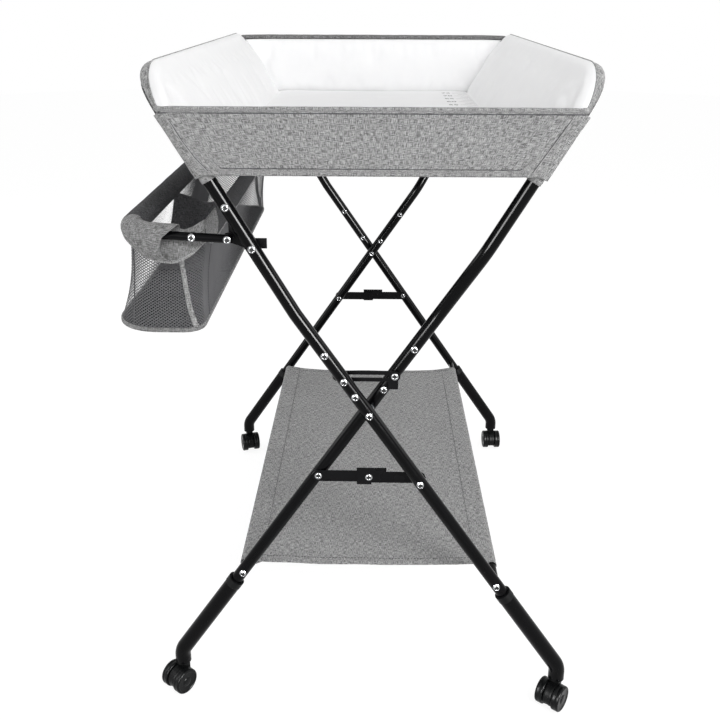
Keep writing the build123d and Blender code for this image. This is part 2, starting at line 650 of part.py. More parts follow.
def build_basket():
    """Leg brackets, rim tube with its sleeve, mesh bag and divider."""
    pivot = basket_pivot(-1)
    rim_x = pivot.X - BASKET_REACH
    ends = [
        arm_point(-BASKET_TAIL, -1),
        arm_point(BASKET_REACH, -1),
        arm_point(BASKET_REACH, 1),
        arm_point(-BASKET_TAIL, 1),
    ]
    radii = [BASKET_CORNER_R, BASKET_CORNER_R]
    tube_r = BASKET_TUBE_D / 2
    rim = swept(ends, radii, tube_r) - swept(ends, radii, tube_r - TUBE_WALL)
    holes = []
    bolts = []
    for end in ENDS.values():
        at = arm_point(BASKET_BOLT_OUT, end)
        holes.append((at, TUBE_D, BOLT_D / 2 + FIT))
        holes.append((basket_pivot(end), TUBE_D, PIVOT_BOLT_D / 2 + FIT))
        along = (arm_point(BASKET_REACH, end) - basket_pivot(end)).normalized()
        bolts.append(tube_bolt(at, along, tube_r, BOLT_D / 2))
    save("basket_rim", drill(rim, holes))
    save("basket_arm_bolts", group(bolts))

    ends[0] = arm_point(BASKET_SLEEVE_END, -1)
    ends[3] = arm_point(BASKET_SLEEVE_END, 1)
    sleeve_r = tube_r + BASKET_SLEEVE_T
    sleeve = swept(ends, radii, sleeve_r) - swept(ends, radii, tube_r + AIR)
    save("basket_rim_sleeve", sleeve)

    lean = math.hypot(1, BASKET_RISE / BASKET_REACH)
    top_z = ends[0].Z - lean * sleeve_r - AIR
    low_z = top_z - BAG_DEPTH
    top_out = rim_x - tube_r
    top_in = pivot.X - BAG_INNER_OUT
    low_out = top_out - BAG_FLARE
    low_in = top_in - BAG_INNER_FLARE
    half_top = HALF_LENGTH - BAG_END_GAP
    half_low = half_top - BAG_END_TAPER
    outside = loft([
        bag_face(low_z, low_out, low_in, half_low, BAG_BOTTOM_R, 0),
        bag_face(top_z, top_out, top_in, half_top, BAG_TOP_R, 0),
    ])
    inside = loft([
        bag_face(low_z, low_out, low_in, half_low, BAG_BOTTOM_R, BAG_WALL),
        bag_face(top_z, top_out, top_in, half_top, BAG_TOP_R, BAG_WALL),
    ])
    keep = Pos((low_out + low_in) / 2, 0, low_z + BAG_FLOOR + BAG_DEPTH) * Box(
        4 * BASKET_REACH, 4 * HALF_LENGTH, 2 * BAG_DEPTH
    )
    save("basket_bag", outside - (inside & keep))

    floor_z = low_z + BAG_FLOOR + AIR
    crest_z = top_z - DIVIDER_DROP
    rise = (floor_z - low_z) / BAG_DEPTH
    crest = (crest_z - low_z) / BAG_DEPTH
    room = BAG_WALL + AIR
    outer_low = low_out + (top_out - low_out) * rise + room
    outer_top = low_out + (top_out - low_out) * crest + room
    inner_low = low_in + (top_in - low_in) * rise - room
    inner_top = low_in + (top_in - low_in) * crest - room
    outline = make_face([
        Line((outer_low, floor_z), (inner_low, floor_z)),
        Line((inner_low, floor_z), (inner_top, crest_z)),
        ThreePointArc(
            (inner_top, crest_z), ((inner_top + outer_top) / 2, crest_z - DIVIDER_DIP), (outer_top, crest_z)
        ),
        Line((outer_top, crest_z), (outer_low, floor_z)),
    ])
    save("basket_divider", plate(outline, DIVIDER_Y - DIVIDER_T / 2, DIVIDER_Y + DIVIDER_T / 2))

    for end_name, end in ENDS.items():
        high, low = bracket_points(end)
        tip = Vector(pivot.X, 0, BASKET_Z)
        stub_z = BASKET_Z - BRACKET_STUB_DROP
        stub_x = OUTER.upper_x(stub_z) + BRACKET_STUB / 2
        gusset = make_face(Polyline((tip.X, tip.Z), (high.X, high.Z), (low.X, low.Z), close=True))
        square = Pos(stub_x, stub_z) * Rectangle(BRACKET_STUB, BRACKET_H)
        face = gusset + bar_face(tip, low, BRACKET_H) + bar_face(high, low, BRACKET_H) + square
        for point in (high, low):
            face = face - Pos(point.X, point.Z) * Circle(BOLT_D / 2 + FIT)
        far = HALF_LENGTH - R - AIR
        bracket = plate(face, end * far, end * (far - BRACKET_T))
        seat = HALF_LENGTH - tube_r - AIR
        boss = cross_bar(tip.X, tip.Z, end * (far - BRACKET_T), end * seat, BRACKET_H / 2)
        bracket = bracket + boss
        bracket = bracket - cross_bar(
            tip.X, tip.Z, end * (far - 2 * BRACKET_T), end * HALF_LENGTH, PIVOT_BOLT_D / 2 + FIT
        )
        save(f"{end_name}_basket_bracket", bracket)


os.makedirs("parts", exist_ok=True)
build_rails()
build_legs()
build_pivots()
build_shelf()
build_braces()
build_stay()
build_rivets()
build_extensions()
build_tray()
build_basket()
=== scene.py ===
import json
import logging
from contextlib import contextmanager
from dataclasses import dataclass, field
from enum import Enum
from math import acos, copysign, cos, hypot, pi, radians, sin, sqrt, tan
from typing import Callable, Iterator, Optional, Sequence

import bmesh
import bpy
import numpy as np
from mathutils import Matrix, Vector, noise
from mathutils.bvhtree import BVHTree

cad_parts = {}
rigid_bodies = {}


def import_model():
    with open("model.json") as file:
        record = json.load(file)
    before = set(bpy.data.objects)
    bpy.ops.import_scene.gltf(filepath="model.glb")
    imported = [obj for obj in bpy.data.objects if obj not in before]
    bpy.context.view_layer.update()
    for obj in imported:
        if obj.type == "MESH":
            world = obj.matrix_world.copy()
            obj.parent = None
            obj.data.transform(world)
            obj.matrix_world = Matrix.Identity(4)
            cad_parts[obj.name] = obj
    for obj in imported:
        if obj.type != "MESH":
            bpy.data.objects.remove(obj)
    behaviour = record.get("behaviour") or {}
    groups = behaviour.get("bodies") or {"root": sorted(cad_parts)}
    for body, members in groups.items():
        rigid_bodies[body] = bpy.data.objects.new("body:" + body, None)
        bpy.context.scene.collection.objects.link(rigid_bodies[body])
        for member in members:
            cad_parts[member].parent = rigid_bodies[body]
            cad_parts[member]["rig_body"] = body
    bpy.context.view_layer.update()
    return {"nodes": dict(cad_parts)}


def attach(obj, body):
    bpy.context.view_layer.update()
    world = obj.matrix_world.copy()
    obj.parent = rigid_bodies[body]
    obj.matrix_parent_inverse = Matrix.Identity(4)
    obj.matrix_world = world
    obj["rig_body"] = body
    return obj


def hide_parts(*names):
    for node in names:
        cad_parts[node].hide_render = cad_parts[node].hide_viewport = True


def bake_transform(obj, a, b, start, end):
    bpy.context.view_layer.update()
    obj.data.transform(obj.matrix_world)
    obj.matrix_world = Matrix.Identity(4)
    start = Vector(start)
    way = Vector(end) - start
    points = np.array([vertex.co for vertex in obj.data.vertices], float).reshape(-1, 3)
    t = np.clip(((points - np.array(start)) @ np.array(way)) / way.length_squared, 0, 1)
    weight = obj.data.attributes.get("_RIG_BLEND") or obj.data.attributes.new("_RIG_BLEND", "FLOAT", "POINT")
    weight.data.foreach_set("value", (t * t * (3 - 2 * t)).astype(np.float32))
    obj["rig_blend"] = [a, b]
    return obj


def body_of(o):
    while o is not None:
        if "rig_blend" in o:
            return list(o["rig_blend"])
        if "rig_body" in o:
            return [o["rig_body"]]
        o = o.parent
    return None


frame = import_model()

LOG = logging.getLogger("changing_table")
Array = np.ndarray
Point, Pair = Sequence[float], tuple[float, float]
Object, Mesh = bpy.types.Object, bpy.types.Mesh
Material, NodeTree = bpy.types.Material, bpy.types.NodeTree


# Thickness of the linen-look cloth, in metres.
CLOTH = 0.0009
# Side direction for a strand that may run any way: along none of the axes.
ANY_SIDE = (0.31, 0.52, 0.79)
# Length of one band of Blender's wave texture at scale 1, which is 2 pi / 20.
WAVE_BAND = 0.314
# The span that most of a noise texture's values fill.
NOISE_LOW, NOISE_HIGH = 0.3, 0.7


class Named(Enum):
    """An option whose name goes into the names of pieces."""

    @property
    def label(self) -> str:
        """The option's name in lower case."""
        return self.name.lower()


class Side(Named):
    """The two tray walls: left on the outer frame, right on the inner frame."""

    LEFT = 1
    RIGHT = -1

    @property
    def frame_name(self) -> str:
        """Which of the two tube frames carries this side."""
        return "outer" if self is Side.LEFT else "inner"

    @property
    def body(self) -> str:
        """The frame body that carries this side."""
        return f"{self.frame_name}_frame"


class End(Named):
    """The two short ends of the table."""

    FRONT = -1
    REAR = 1


# Colour and shader helpers


def linear(hex_colour: str) -> tuple[float, float, float, float]:
    """Turns an sRGB hex colour to linear values.

    Args:
        hex_colour: Colour such as "#8d9096".

    Returns:
        Linear red, green and blue, and full opacity.
    """
    parts = [int(hex_colour[i : i + 2], 16) / 255 for i in (1, 3, 5)]
    red, green, blue = (c / 12.92 if c <= 0.04045 else ((c + 0.055) / 1.055) ** 2.4 for c in parts)
    return (red, green, blue, 1.0)


def add_node(tree: NodeTree, kind: str, inputs: Optional[dict] = None, **settings) -> bpy.types.Node:
    """Adds one shader node with its settings and links.

    Args:
        tree: The material's node tree.
        kind: Blender's node type name.
        inputs: Socket name or number, to a value or to another node's output socket.
        settings: Node attributes to set.

    Returns:
        The new node.
    """
    node = tree.nodes.new(kind)
    for name, value in settings.items():
        setattr(node, name, value)
    for key, value in (inputs or {}).items():
        if isinstance(value, bpy.types.NodeSocket):
            tree.links.new(value, node.inputs[key])
        else:
            node.inputs[key].default_value = value
    return node


def new_material(name: str, constants: dict) -> tuple[Material, NodeTree, bpy.types.Node]:
    """Makes a node material.

    Args:
        name: Material name.
        constants: Values that are the same all over the surface, by the shader's socket name.

    Returns:
        The material, its tree and its principled shader.
    """
    material = bpy.data.materials.new(name)
    material.use_nodes = True
    tree = material.node_tree
    shader = tree.nodes["Principled BSDF"]
    for socket, value in constants.items():
        shader.inputs[socket].default_value = value
    return material, tree, shader


@dataclass(frozen=True)
class LinenLookPolyester:
    """Woven polyester with a linen look: slubby two-tone threads, matte, with a soft fuzz sheen."""

    name: str
    dark: str
    middle: str
    light: str
    thread_mm: float = 0.6
    slub_mm: float = 8.0
    patch_mm: float = 60.0
    # Where the dark and light threads begin in the noise of the two thread directions.
    dark_at: float = 0.435
    light_at: float = 0.565
    bump: float = 0.35
    bump_mm: float = 0.5
    roughness: float = 0.88
    sheen: float = 0.06
    specular: float = 0.04

    def material(self) -> Material:
        """Builds the woven cloth."""
        constants = {"Roughness": self.roughness, "Sheen Weight": self.sheen, "Specular IOR Level": self.specular}
        material, tree, shader = new_material(self.name, constants)
        thread, slub = self.thread_mm / 1000, self.slub_mm / 1000
        uv = add_node(tree, "ShaderNodeUVMap", uv_map="weave").outputs[0]
        streaks = []
        for scale in ((1 / thread, 1 / slub, 1), (1 / slub, 1 / thread, 1)):
            mapped = add_node(tree, "ShaderNodeMapping", {"Vector": uv, "Scale": scale})
            threads = {"Vector": mapped.outputs[0], "Scale": 1.0, "Detail": 1.0, "Roughness": 0.6}
            streaks.append(add_node(tree, "ShaderNodeTexNoise", threads).outputs[0])
        both = add_node(tree, "ShaderNodeMath", {0: streaks[0], 1: streaks[1]}, operation="ADD")
        half = add_node(tree, "ShaderNodeMath", {0: both.outputs[0], 1: 0.5}, operation="MULTIPLY")
        ramp = add_node(tree, "ShaderNodeValToRGB", {0: half.outputs[0]})
        first, last = ramp.color_ramp.elements
        first.position, first.color = self.dark_at, linear(self.dark)
        last.position, last.color = self.light_at, linear(self.light)
        ramp.color_ramp.elements.new(0.5).color = linear(self.middle)
        patches = {"Vector": uv, "Scale": 1000 / self.patch_mm, "Detail": 1.0}
        patch = add_node(tree, "ShaderNodeTexNoise", patches)
        levels = {0: patch.outputs[0], 1: NOISE_LOW, 2: NOISE_HIGH, 3: 0.96, 4: 1.03}
        shade = add_node(tree, "ShaderNodeMapRange", levels)
        tone = add_node(
            tree, "ShaderNodeMix", {0: 1.0, 6: ramp.outputs[0], 7: shade.outputs[0]}, data_type="RGBA",
            blend_type="MULTIPLY",
        )
        tree.links.new(tone.outputs[2], shader.inputs["Base Color"])
        bands = {"Vector": uv, "Scale": WAVE_BAND / thread, "Distortion": 1.2, "Detail": 1.0}
        warp, weft = (
            add_node(tree, "ShaderNodeTexWave", bands, bands_direction=direction).outputs[1]
            for direction in ("X", "Y")
        )
        cross = add_node(tree, "ShaderNodeMath", {0: warp, 1: weft}, operation="MULTIPLY")
        relief = {"Strength": self.bump, "Distance": self.bump_mm / 1000, "Height": cross.outputs[0]}
        tree.links.new(add_node(tree, "ShaderNodeBump", relief).outputs[0], shader.inputs["Normal"])
        return material


@dataclass(frozen=True)
class SoftVinyl:
    """Wipe-clean vinyl over foam: white, a touch darker in the padding's dimples as painted shade, a faint pressed
    grain and a broad soft gloss.
    """

    name: str
    colour: str
    # shade: the colour in the padding's dimples, a painted shade that follows their relief.
    shade: str
    # The pressed grain is about 0.8 mm; it is drawn at 2 mm so that it shows.
    grain_mm: float = 2.0
    dimple_mm: float = 38.0
    roughness: float = 0.5
    specular: float = 0.2

    def material(self) -> Material:
        """Builds the vinyl."""
        constants = {"Roughness": self.roughness, "Specular IOR Level": self.specular}
        material, tree, shader = new_material(self.name, constants)
        where = add_node(tree, "ShaderNodeTexCoord").outputs["Object"]
        dimples = {"Vector": where, "Scale": 1000 / self.dimple_mm, "Detail": 2.0}
        soft = add_node(tree, "ShaderNodeTexNoise", dimples).outputs[0]
        # The dimples' own noise darkens them a touch: painted shade in the padding's hollows.
        tones = {0: soft, 6: linear(self.shade), 7: linear(self.colour)}
        mix = add_node(tree, "ShaderNodeMix", tones, data_type="RGBA")
        tree.links.new(mix.outputs[2], shader.inputs["Base Color"])
        grain = add_node(tree, "ShaderNodeTexVoronoi", {"Vector": where, "Scale": 1000 / self.grain_mm})
        pressed = {"Strength": 0.06, "Distance": 0.0004, "Height": grain.outputs[0]}
        fine = add_node(tree, "ShaderNodeBump", pressed)
        padded = {"Strength": 0.22, "Distance": 0.004, "Height": soft, "Normal": fine.outputs[0]}
        tree.links.new(add_node(tree, "ShaderNodeBump", padded).outputs[0], shader.inputs["Normal"])
        return material


@dataclass(frozen=True)
class CoatedSolid:
    """Powder coat, plastic, plated metal, yarn or ink: a fine texture and rubbed places."""

    name: str
    colour: str
    worn: str
    roughness: float
    spread: float = 0.06
    grit_mm: float = 0.5
    bump: float = 0.05
    metallic: float = 0.0
    specular: float = 0.1
    patch_mm: float = 1000 / 28
    bump_mm: float = 0.3

    def material(self) -> Material:
        """Builds the surface."""
        constants = {"Metallic": self.metallic, "Specular IOR Level": self.specular}
        material, tree, shader = new_material(self.name, constants)
        where = add_node(tree, "ShaderNodeTexCoord").outputs["Object"]
        rubbed = {"Vector": where, "Scale": 1000 / self.patch_mm, "Detail": 3.0}
        patches = add_node(tree, "ShaderNodeTexNoise", rubbed).outputs[0]
        tones = {0: patches, 6: linear(self.colour), 7: linear(self.worn)}
        mix = add_node(tree, "ShaderNodeMix", tones, data_type="RGBA")
        tree.links.new(mix.outputs[2], shader.inputs["Base Color"])
        smooth, rough = self.roughness - self.spread, self.roughness + self.spread
        levels = {0: patches, 1: NOISE_LOW, 2: NOISE_HIGH, 3: smooth, 4: rough}
        gloss = add_node(tree, "ShaderNodeMapRange", levels)
        tree.links.new(gloss.outputs[0], shader.inputs["Roughness"])
        grains = {"Vector": where, "Scale": 1000 / self.grit_mm, "Detail": 1.0}
        grit = add_node(tree, "ShaderNodeTexNoise", grains)
        relief = {"Strength": self.bump, "Distance": self.bump_mm / 1000, "Height": grit.outputs[0]}
        tree.links.new(add_node(tree, "ShaderNodeBump", relief).outputs[0], shader.inputs["Normal"])
        return material


class Finishes:
    """Every finish on the table, each made once."""

    def __init__(self) -> None:
        """Builds the materials."""
        # Woven heather polyester: mid grey, short light and dark threads that mix at a distance.
        self.linen = LinenLookPolyester("heather_linen_polyester", "#6e6e6e", "#9d9d9d", "#c9c9c9").material()
        # The same cloth cut for hems: a little less contrast, so that folded edges read as one line.
        self.binding = LinenLookPolyester("heather_linen_binding", "#707070", "#9c9c9c", "#c6c6c6").material()
        # Plain-woven charcoal polyester: dark and even, with hardly any thread contrast.
        self.charcoal = LinenLookPolyester("charcoal_polyester_lining", "#38383a", "#48484a", "#5a5a5c").material()
        # The charcoal weave painted lighter, as painted light that makes up for the shade deep in the basket: dark
        # grey that still shows its slack folds.
        self.divider = LinenLookPolyester("charcoal_divider_cloth", "#56565a", "#6e6e70", "#868688").material()
        # Heather polyester, a shade darker: grey threads on a dim ground.
        self.sleeve = LinenLookPolyester("dark_heather_rim_sleeve", "#626262", "#8a8a8a", "#b0b0b0").material()
        # The rim sleeve's cloth painted nearly black, with faint threads: painted shade on the long side of the rim,
        # under the tray.
        self.dark_sleeve = LinenLookPolyester("rim_sleeve_painted_shade", "#343436", "#464648", "#5c5c5e").material()
        # The hem cloth with painted shade: the far hem, darker than the near one.
        self.dark_binding = LinenLookPolyester("heather_binding_painted_shade", "#565656", "#767676", "#979797").material()
        # Soft white vinyl: clean white with a broad low gloss, a touch darker in its soft dimples as painted shade.
        self.vinyl = SoftVinyl("white_soft_vinyl", "#f5f5f5", "#f0f0f1").material()
        # Powder-coated steel: deep black, satin gloss with long soft highlights and a faint orange peel.
        self.tube = CoatedSolid(
            "black_powder_coated_steel", "#060607", "#0a0a0c",
            roughness=0.16, spread=0.03, grit_mm=1.6, bump=0.015, specular=0.08,
        ).material()
        # Pressed steel plate, coated: a little flatter than the tubes.
        self.plate = CoatedSolid(
            "black_coated_steel_plate", "#0b0b0d", "#121214", roughness=0.3, spread=0.05, grit_mm=1.2, specular=0.08,
        ).material()
        # Nickel-plated steel: bright domed heads with fine handling marks.
        self.bolt = CoatedSolid(
            "nickel_plated_steel", "#a9aaab", "#7f8082", roughness=0.2, bump=0.04, metallic=1.0, specular=0.5,
        ).material()
        # Painted shade in the bolts' recesses: dark, barely reflecting, on heads that are nickel all over.
        self.socket = CoatedSolid(
            "blackened_steel_recess", "#1a1b1c", "#2a2b2c", roughness=0.5, spread=0.08, specular=0.2,
        ).material()
        # Zinc-plated steel: grey and dull, with soft streaks.
        self.zinc = CoatedSolid(
            "zinc_plated_steel", "#8f9296", "#7c7f83",
            roughness=0.38, spread=0.08, grit_mm=0.6, bump=0.06, metallic=1.0, specular=0.5,
        ).material()
        # Moulded polypropylene: near black, matte, fine spark texture.
        self.plastic = CoatedSolid(
            "moulded_black_polypropylene", "#0c0d0e", "#131415", roughness=0.4, grit_mm=0.9, bump=0.08, specular=0.09,
        ).material()
        # Moulded nylon wheels: dark, satin, with scuffed patches.
        self.nylon = CoatedSolid("moulded_black_nylon", "#0c0d0e", "#151617", roughness=0.3, grit_mm=0.8).material()
        # Polyester net yarn: thin dull grey thread that veils what lies behind it.
        self.net = CoatedSolid(
            "grey_polyester_net_yarn", "#6c6c6e", "#7a7a7c", roughness=0.8, bump=0.1, specular=0.05,
        ).material()
        # Polyester sewing thread: mid grey, slightly lighter than the cloth.
        self.thread = CoatedSolid(
            "grey_polyester_thread", "#858585", "#989898", roughness=0.7, spread=0.08, grit_mm=0.4, bump=0.1,
        ).material()
        # The raised edge of a felled seam as a painted highlight: a pale line where the fold catches the light.
        self.pale_thread = CoatedSolid(
            "seam_edge_painted_highlight", "#b4b4b4", "#c4c4c4", roughness=0.8, grit_mm=0.4, bump=0.1, specular=0.05,
        ).material()
        # Dark polyester thread: a thin matte line that draws the seams; the same dark finish is painted shade in the
        # hem creases and beside the felled seams.
        self.dark_thread = CoatedSolid(
            "dark_seam_thread_and_painted_shade", "#58585a", "#6a6a6c",
            roughness=0.75, spread=0.08, grit_mm=0.4, bump=0.1, specular=0.05,
        ).material()
        # Screen-printed ink on vinyl: dark grey, dry.
        self.ink = CoatedSolid("dark_grey_screen_ink", "#141416", "#232325", roughness=0.7, spread=0.05).material()
        # The same ink printed thin: paler grey marks.
        self.pale_ink = CoatedSolid(
            "pale_grey_screen_ink", "#777779", "#868688", roughness=0.7, spread=0.05,
        ).material()


# Mesh helpers


def linked(name: str, data: bpy.types.ID) -> Object:
    """Makes an object and puts it in the scene.

    Args:
        name: Object name.
        data: Mesh, curve, camera or lamp.

    Returns:
        The new object.
    """
    obj = bpy.data.objects.new(name, data)
    bpy.context.scene.collection.objects.link(obj)
    return obj


@contextmanager
def mesh_edit(mesh: Mesh, keep: bool = True) -> Iterator[bmesh.types.BMesh]:
    """Opens a mesh for editing.

    Args:
        mesh: The mesh.
        keep: True to write the changes back.

    Returns:
        The editable mesh, freed at the end.
    """
    work = bmesh.new()
    work.from_mesh(mesh)
    yield work
    if keep:
        work.to_mesh(mesh)
    work.free()


def points_of(mesh: Mesh) -> Array:
    """The places of a mesh's vertices, one row each."""
    flat = np.zeros(len(mesh.vertices) * 3)
    mesh.vertices.foreach_get("co", flat)
    return flat.reshape(-1, 3)


def move_points(mesh: Mesh, points: Array) -> None:
    """Puts a mesh's vertices at new places."""
    mesh.vertices.foreach_set("co", points.ravel())
    mesh.update()


def smooth_faces(mesh: Mesh) -> None:
    """Shades every face of a mesh smooth."""
    mesh.polygons.foreach_set("use_smooth", [True] * len(mesh.polygons))


def steps_of(path: Array) -> Array:
    """The distances between the points of a path."""
    return np.linalg.norm(np.diff(path, axis=0), axis=1)


def length_of(path: Array) -> float:
    """The length of a path."""
    return float(steps_of(path).sum())


def run_along(path: Array) -> Array:
    """How far each point of a path is from its start."""
    return np.concatenate([[0.0], np.cumsum(steps_of(path))])


def points_at(path: Array, run: Array, marks: Array) -> Array:
    """Points of a path, whose run is known, at the marked distances from its start."""
    return np.stack([np.interp(marks, run, path[:, k]) for k in range(3)], axis=1)


def mesh_object(name: str, points: Array, faces: Sequence, material: Material) -> Object:
    """Makes a smooth mesh object.

    Args:
        name: Object name.
        points: Vertex positions in metres.
        faces: Vertex numbers of each face.
        material: Finish.

    Returns:
        The new object, in the scene.
    """
    mesh = bpy.data.meshes.new(name)
    mesh.from_pydata([tuple(map(float, p)) for p in points], [], [tuple(map(int, f)) for f in faces])
    mesh.materials.append(material)
    smooth_faces(mesh)
    mesh.update()
    return linked(name, mesh)


def set_weave(obj: Object, coords: Array) -> None:
    """Writes weave coordinates in metres.

    Args:
        obj: Mesh object.
        coords: One pair of coordinates for each vertex.
    """
    mesh = obj.data
    layer = mesh.uv_layers.new(name="weave")
    index = np.zeros(len(mesh.loops), dtype=np.int32)
    mesh.loops.foreach_get("vertex_index", index)
    layer.data.foreach_set("uv", np.asarray(coords, dtype=np.float32)[index].ravel())


def grid_faces(rows: int, cols: int, wrap: bool = False, start: int = 0) -> list[tuple[int, int, int, int]]:
    """Quads of a grid of points.

    Args:
        rows: Points along the first way.
        cols: Points along the second way.
        wrap: True if the second way closes on itself.
        start: Number of the grid's first vertex.

    Returns:
        The faces.
    """
    faces = []
    for i in range(rows - 1):
        here, there = start + i * cols, start + (i + 1) * cols
        for j in range(cols if wrap else cols - 1):
            k = (j + 1) % cols
            faces.append((here + j, here + k, there + k, there + j))
    return faces


def surface(name: str, grid: Array, material: Material, wrap: bool = False) -> Object:
    """A surface through a grid of points, with weave coordinates along its two ways.

    Args:
        name: Object name.
        grid: Points, rows by columns by 3.
        material: Finish.
        wrap: True if each row closes on itself.

    Returns:
        The new object.
    """
    rows, cols = grid.shape[:2]
    obj = mesh_object(name, grid.reshape(-1, 3), grid_faces(rows, cols, wrap), material)
    down = np.linalg.norm(np.diff(grid, axis=0), axis=2).mean(axis=1)
    across = np.linalg.norm(np.diff(grid, axis=1), axis=2).mean(axis=0)
    v = np.concatenate([[0.0], np.cumsum(down)])
    u = np.concatenate([[0.0], np.cumsum(across)])
    coords = np.stack(np.meshgrid(u, v), axis=2).reshape(-1, 2)
    set_weave(obj, coords)
    return obj


def rounded_path(corners: Sequence[Point], radii: Point, step: float = 0.006) -> Array:
    """Points along a line with rounded corners.

    Args:
        corners: Corner points, ends included.
        radii: Bend radius of each inner corner.
        step: Rough spacing of the points.

    Returns:
        Points along the line.
    """
    pts = [np.array(c, dtype=float) for c in corners]
    out = [pts[0]]
    for k in range(1, len(pts) - 1):
        radius = radii[k - 1]
        before = pts[k - 1] - pts[k]
        after = pts[k + 1] - pts[k]
        before /= np.linalg.norm(before)
        after /= np.linalg.norm(after)
        angle = acos(float(np.clip(before @ after, -1, 1)))
        reach = radius / tan(angle / 2)
        middle = (before + after) / np.linalg.norm(before + after)
        centre = pts[k] + middle * radius / sin(angle / 2)
        a = pts[k] + before * reach - centre
        b = pts[k] + after * reach - centre
        turn = pi - angle
        count = max(3, int(radius * turn / step))
        for i in range(count + 1):
            t = i / count
            out.append(centre + (sin((1 - t) * turn) * a + sin(t * turn) * b) / sin(turn))
    out.append(pts[-1])
    dense = [out[0]]
    for p in out[1:]:
        gap = np.linalg.norm(p - dense[-1])
        parts = max(1, int(round(gap / step)))
        base = dense[-1]
        for i in range(1, parts + 1):
            dense.append(base + (p - base) * i / parts)
    return np.array(dense)


def frames_along(path: Array, hint: Point) -> tuple[Array, Array]:
    """Side and up directions along a path.

    Args:
        path: Points of the path.
        hint: Rough side direction at the start.

    Returns:
        Two arrays of unit vectors.
    """
    ahead = np.gradient(path, axis=0)
    ahead /= np.linalg.norm(ahead, axis=1)[:, None]
    side = np.array(hint, dtype=float)
    sides = []
    for t in ahead:
        side = side - t * (side @ t)
        side /= np.linalg.norm(side)
        sides.append(side.copy())
    sides = np.array(sides)
    return sides, np.cross(ahead, sides)


def swept(path: Array, profile: Callable[[int], Sequence[Pair]], hint: Point) -> Array:
    """Sweeps a closed profile along a path.

    Args:
        path: Points of the path.
        profile: Gives the profile's side and up offsets for a point number.
        hint: Rough side direction at the start.

    Returns:
        Grid of points, path by profile by 3.
    """
    sides, ups = frames_along(path, hint)
    rows = [[p + sides[i] * a + ups[i] * b for a, b in profile(i)] for i, p in enumerate(path)]
    return np.array(rows)


def turns(count: int) -> list[float]:
    """Evenly spaced angles round a full turn."""
    return [2 * pi * k / count for k in range(count)]


def ring(radius: float, count: int = 8) -> list[Pair]:
    """Side and up offsets of a round ring."""
    return [(radius * cos(a), radius * sin(a)) for a in turns(count)]


def soft_box(half_a: float, half_b: float, power: float, count: int = 28) -> list[Pair]:
    """A rounded-rectangle ring of offsets.

    Args:
        half_a: Half width along the side direction.
        half_b: Half width along the up direction.
        power: Higher is squarer.
        count: Number of points.

    Returns:
        The offsets.
    """
    out = []
    for a in turns(count):
        c, s = cos(a), sin(a)
        wide = half_a * copysign(abs(c) ** (2 / power), c)
        high = half_b * copysign(abs(s) ** (2 / power), s)
        out.append((wide, high))
    return out


def strand(path: Array, radius: float, hint: Point, count: int = 8) -> tuple[Array, list]:
    """Points and faces of a round strand along a path."""
    return swept(path, lambda i: ring(radius, count), hint), grid_faces(len(path), count, True)


def tube(name: str, path: Array, radius: float, material: Material, hint: Point) -> Object:
    """An object of one round strand along a path."""
    return surface(name, strand(path, radius, hint)[0], material, wrap=True)


def wrinkle(
    grid: Array, along: Point, depth: float, size: float, stretch: Point = (1, 1, 1), seed: float = 0.0,
) -> Array:
    """Moves points by smooth noise.

    Args:
        grid: Points, any shape by 3.
        along: Direction of the movement.
        depth: Largest movement.
        size: Size of a fold.
        stretch: Stretch of the folds along each axis.
        seed: Offset into the noise.

    Returns:
        The moved points.
    """
    flat = grid.reshape(-1, 3).copy()
    direction = np.array(along, dtype=float)
    for k, p in enumerate(flat):
        x, y, z = (p[i] / size / stretch[i] for i in range(3))
        q = Vector((x + seed, y - seed, z))
        flat[k] = p + direction * depth * noise.fractal(q, 1.0, 2.0, 2)
    return flat.reshape(grid.shape)


def thicken(obj: Object, thickness: float, offset: float = 0.0) -> Object:
    """Gives a sheet its thickness and bakes it into the mesh.

    Args:
        obj: Sheet object.
        thickness: Cloth thickness.
        offset: -1 keeps the front face, 1 the back face.

    Returns:
        The same object.
    """
    modifier = obj.modifiers.new("cloth_thickness", "SOLIDIFY")
    modifier.thickness = thickness
    modifier.offset = offset
    return bake(obj)


def bake(obj: Object) -> Object:
    """Applies an object's modifiers to its mesh.

    Args:
        obj: Mesh object.

    Returns:
        The same object.
    """
    graph = bpy.context.evaluated_depsgraph_get()
    graph.update()
    done = bpy.data.meshes.new_from_object(obj.evaluated_get(graph), preserve_all_data_layers=True, depsgraph=graph)
    old = obj.data
    obj.modifiers.clear()
    obj.data = done
    bpy.data.meshes.remove(old)
    return obj


def joined(name: str, parts: Sequence[tuple[Array, Sequence]], material: Material) -> Object:
    """One object from several point-and-face sets.

    Args:
        name: Object name.
        parts: Points and faces of each set.
        material: Finish.

    Returns:
        The new object.
    """
    points, faces, start = [], [], 0
    for verts, quads in parts:
        points.append(np.asarray(verts).reshape(-1, 3))
        faces += [tuple(start + i for i in f) for f in quads]
        start += len(points[-1])
    return mesh_object(name, np.concatenate(points), faces, material)


def stitches(name: str, path: Array, material: Material, pitch: float = 0.005, radius: float = 0.0005) -> Object:
    """A row of sewn stitches along a path.

    Args:
        name: Object name.
        path: Points of the seam, on the cloth's face.
        material: Thread finish.
        pitch: Stitch spacing.
        radius: Thread radius.

    Returns:
        The new object.
    """
    # Each stitch is thin where it goes into the cloth.
    sizes = [radius * share for share in (0.35, 1.0, 1.0, 0.35)]
    around = 6
    run = run_along(path)
    parts = []
    at = pitch * 0.2
    while at + pitch * 0.7 < run[-1]:
        stitch = points_at(path, run, np.linspace(at, at + pitch * 0.68, len(sizes)))
        grid = swept(stitch, lambda i: ring(sizes[i], around), ANY_SIDE)
        parts.append((grid, grid_faces(len(sizes), around, True)))
        at += pitch
    return joined(name, parts, material)


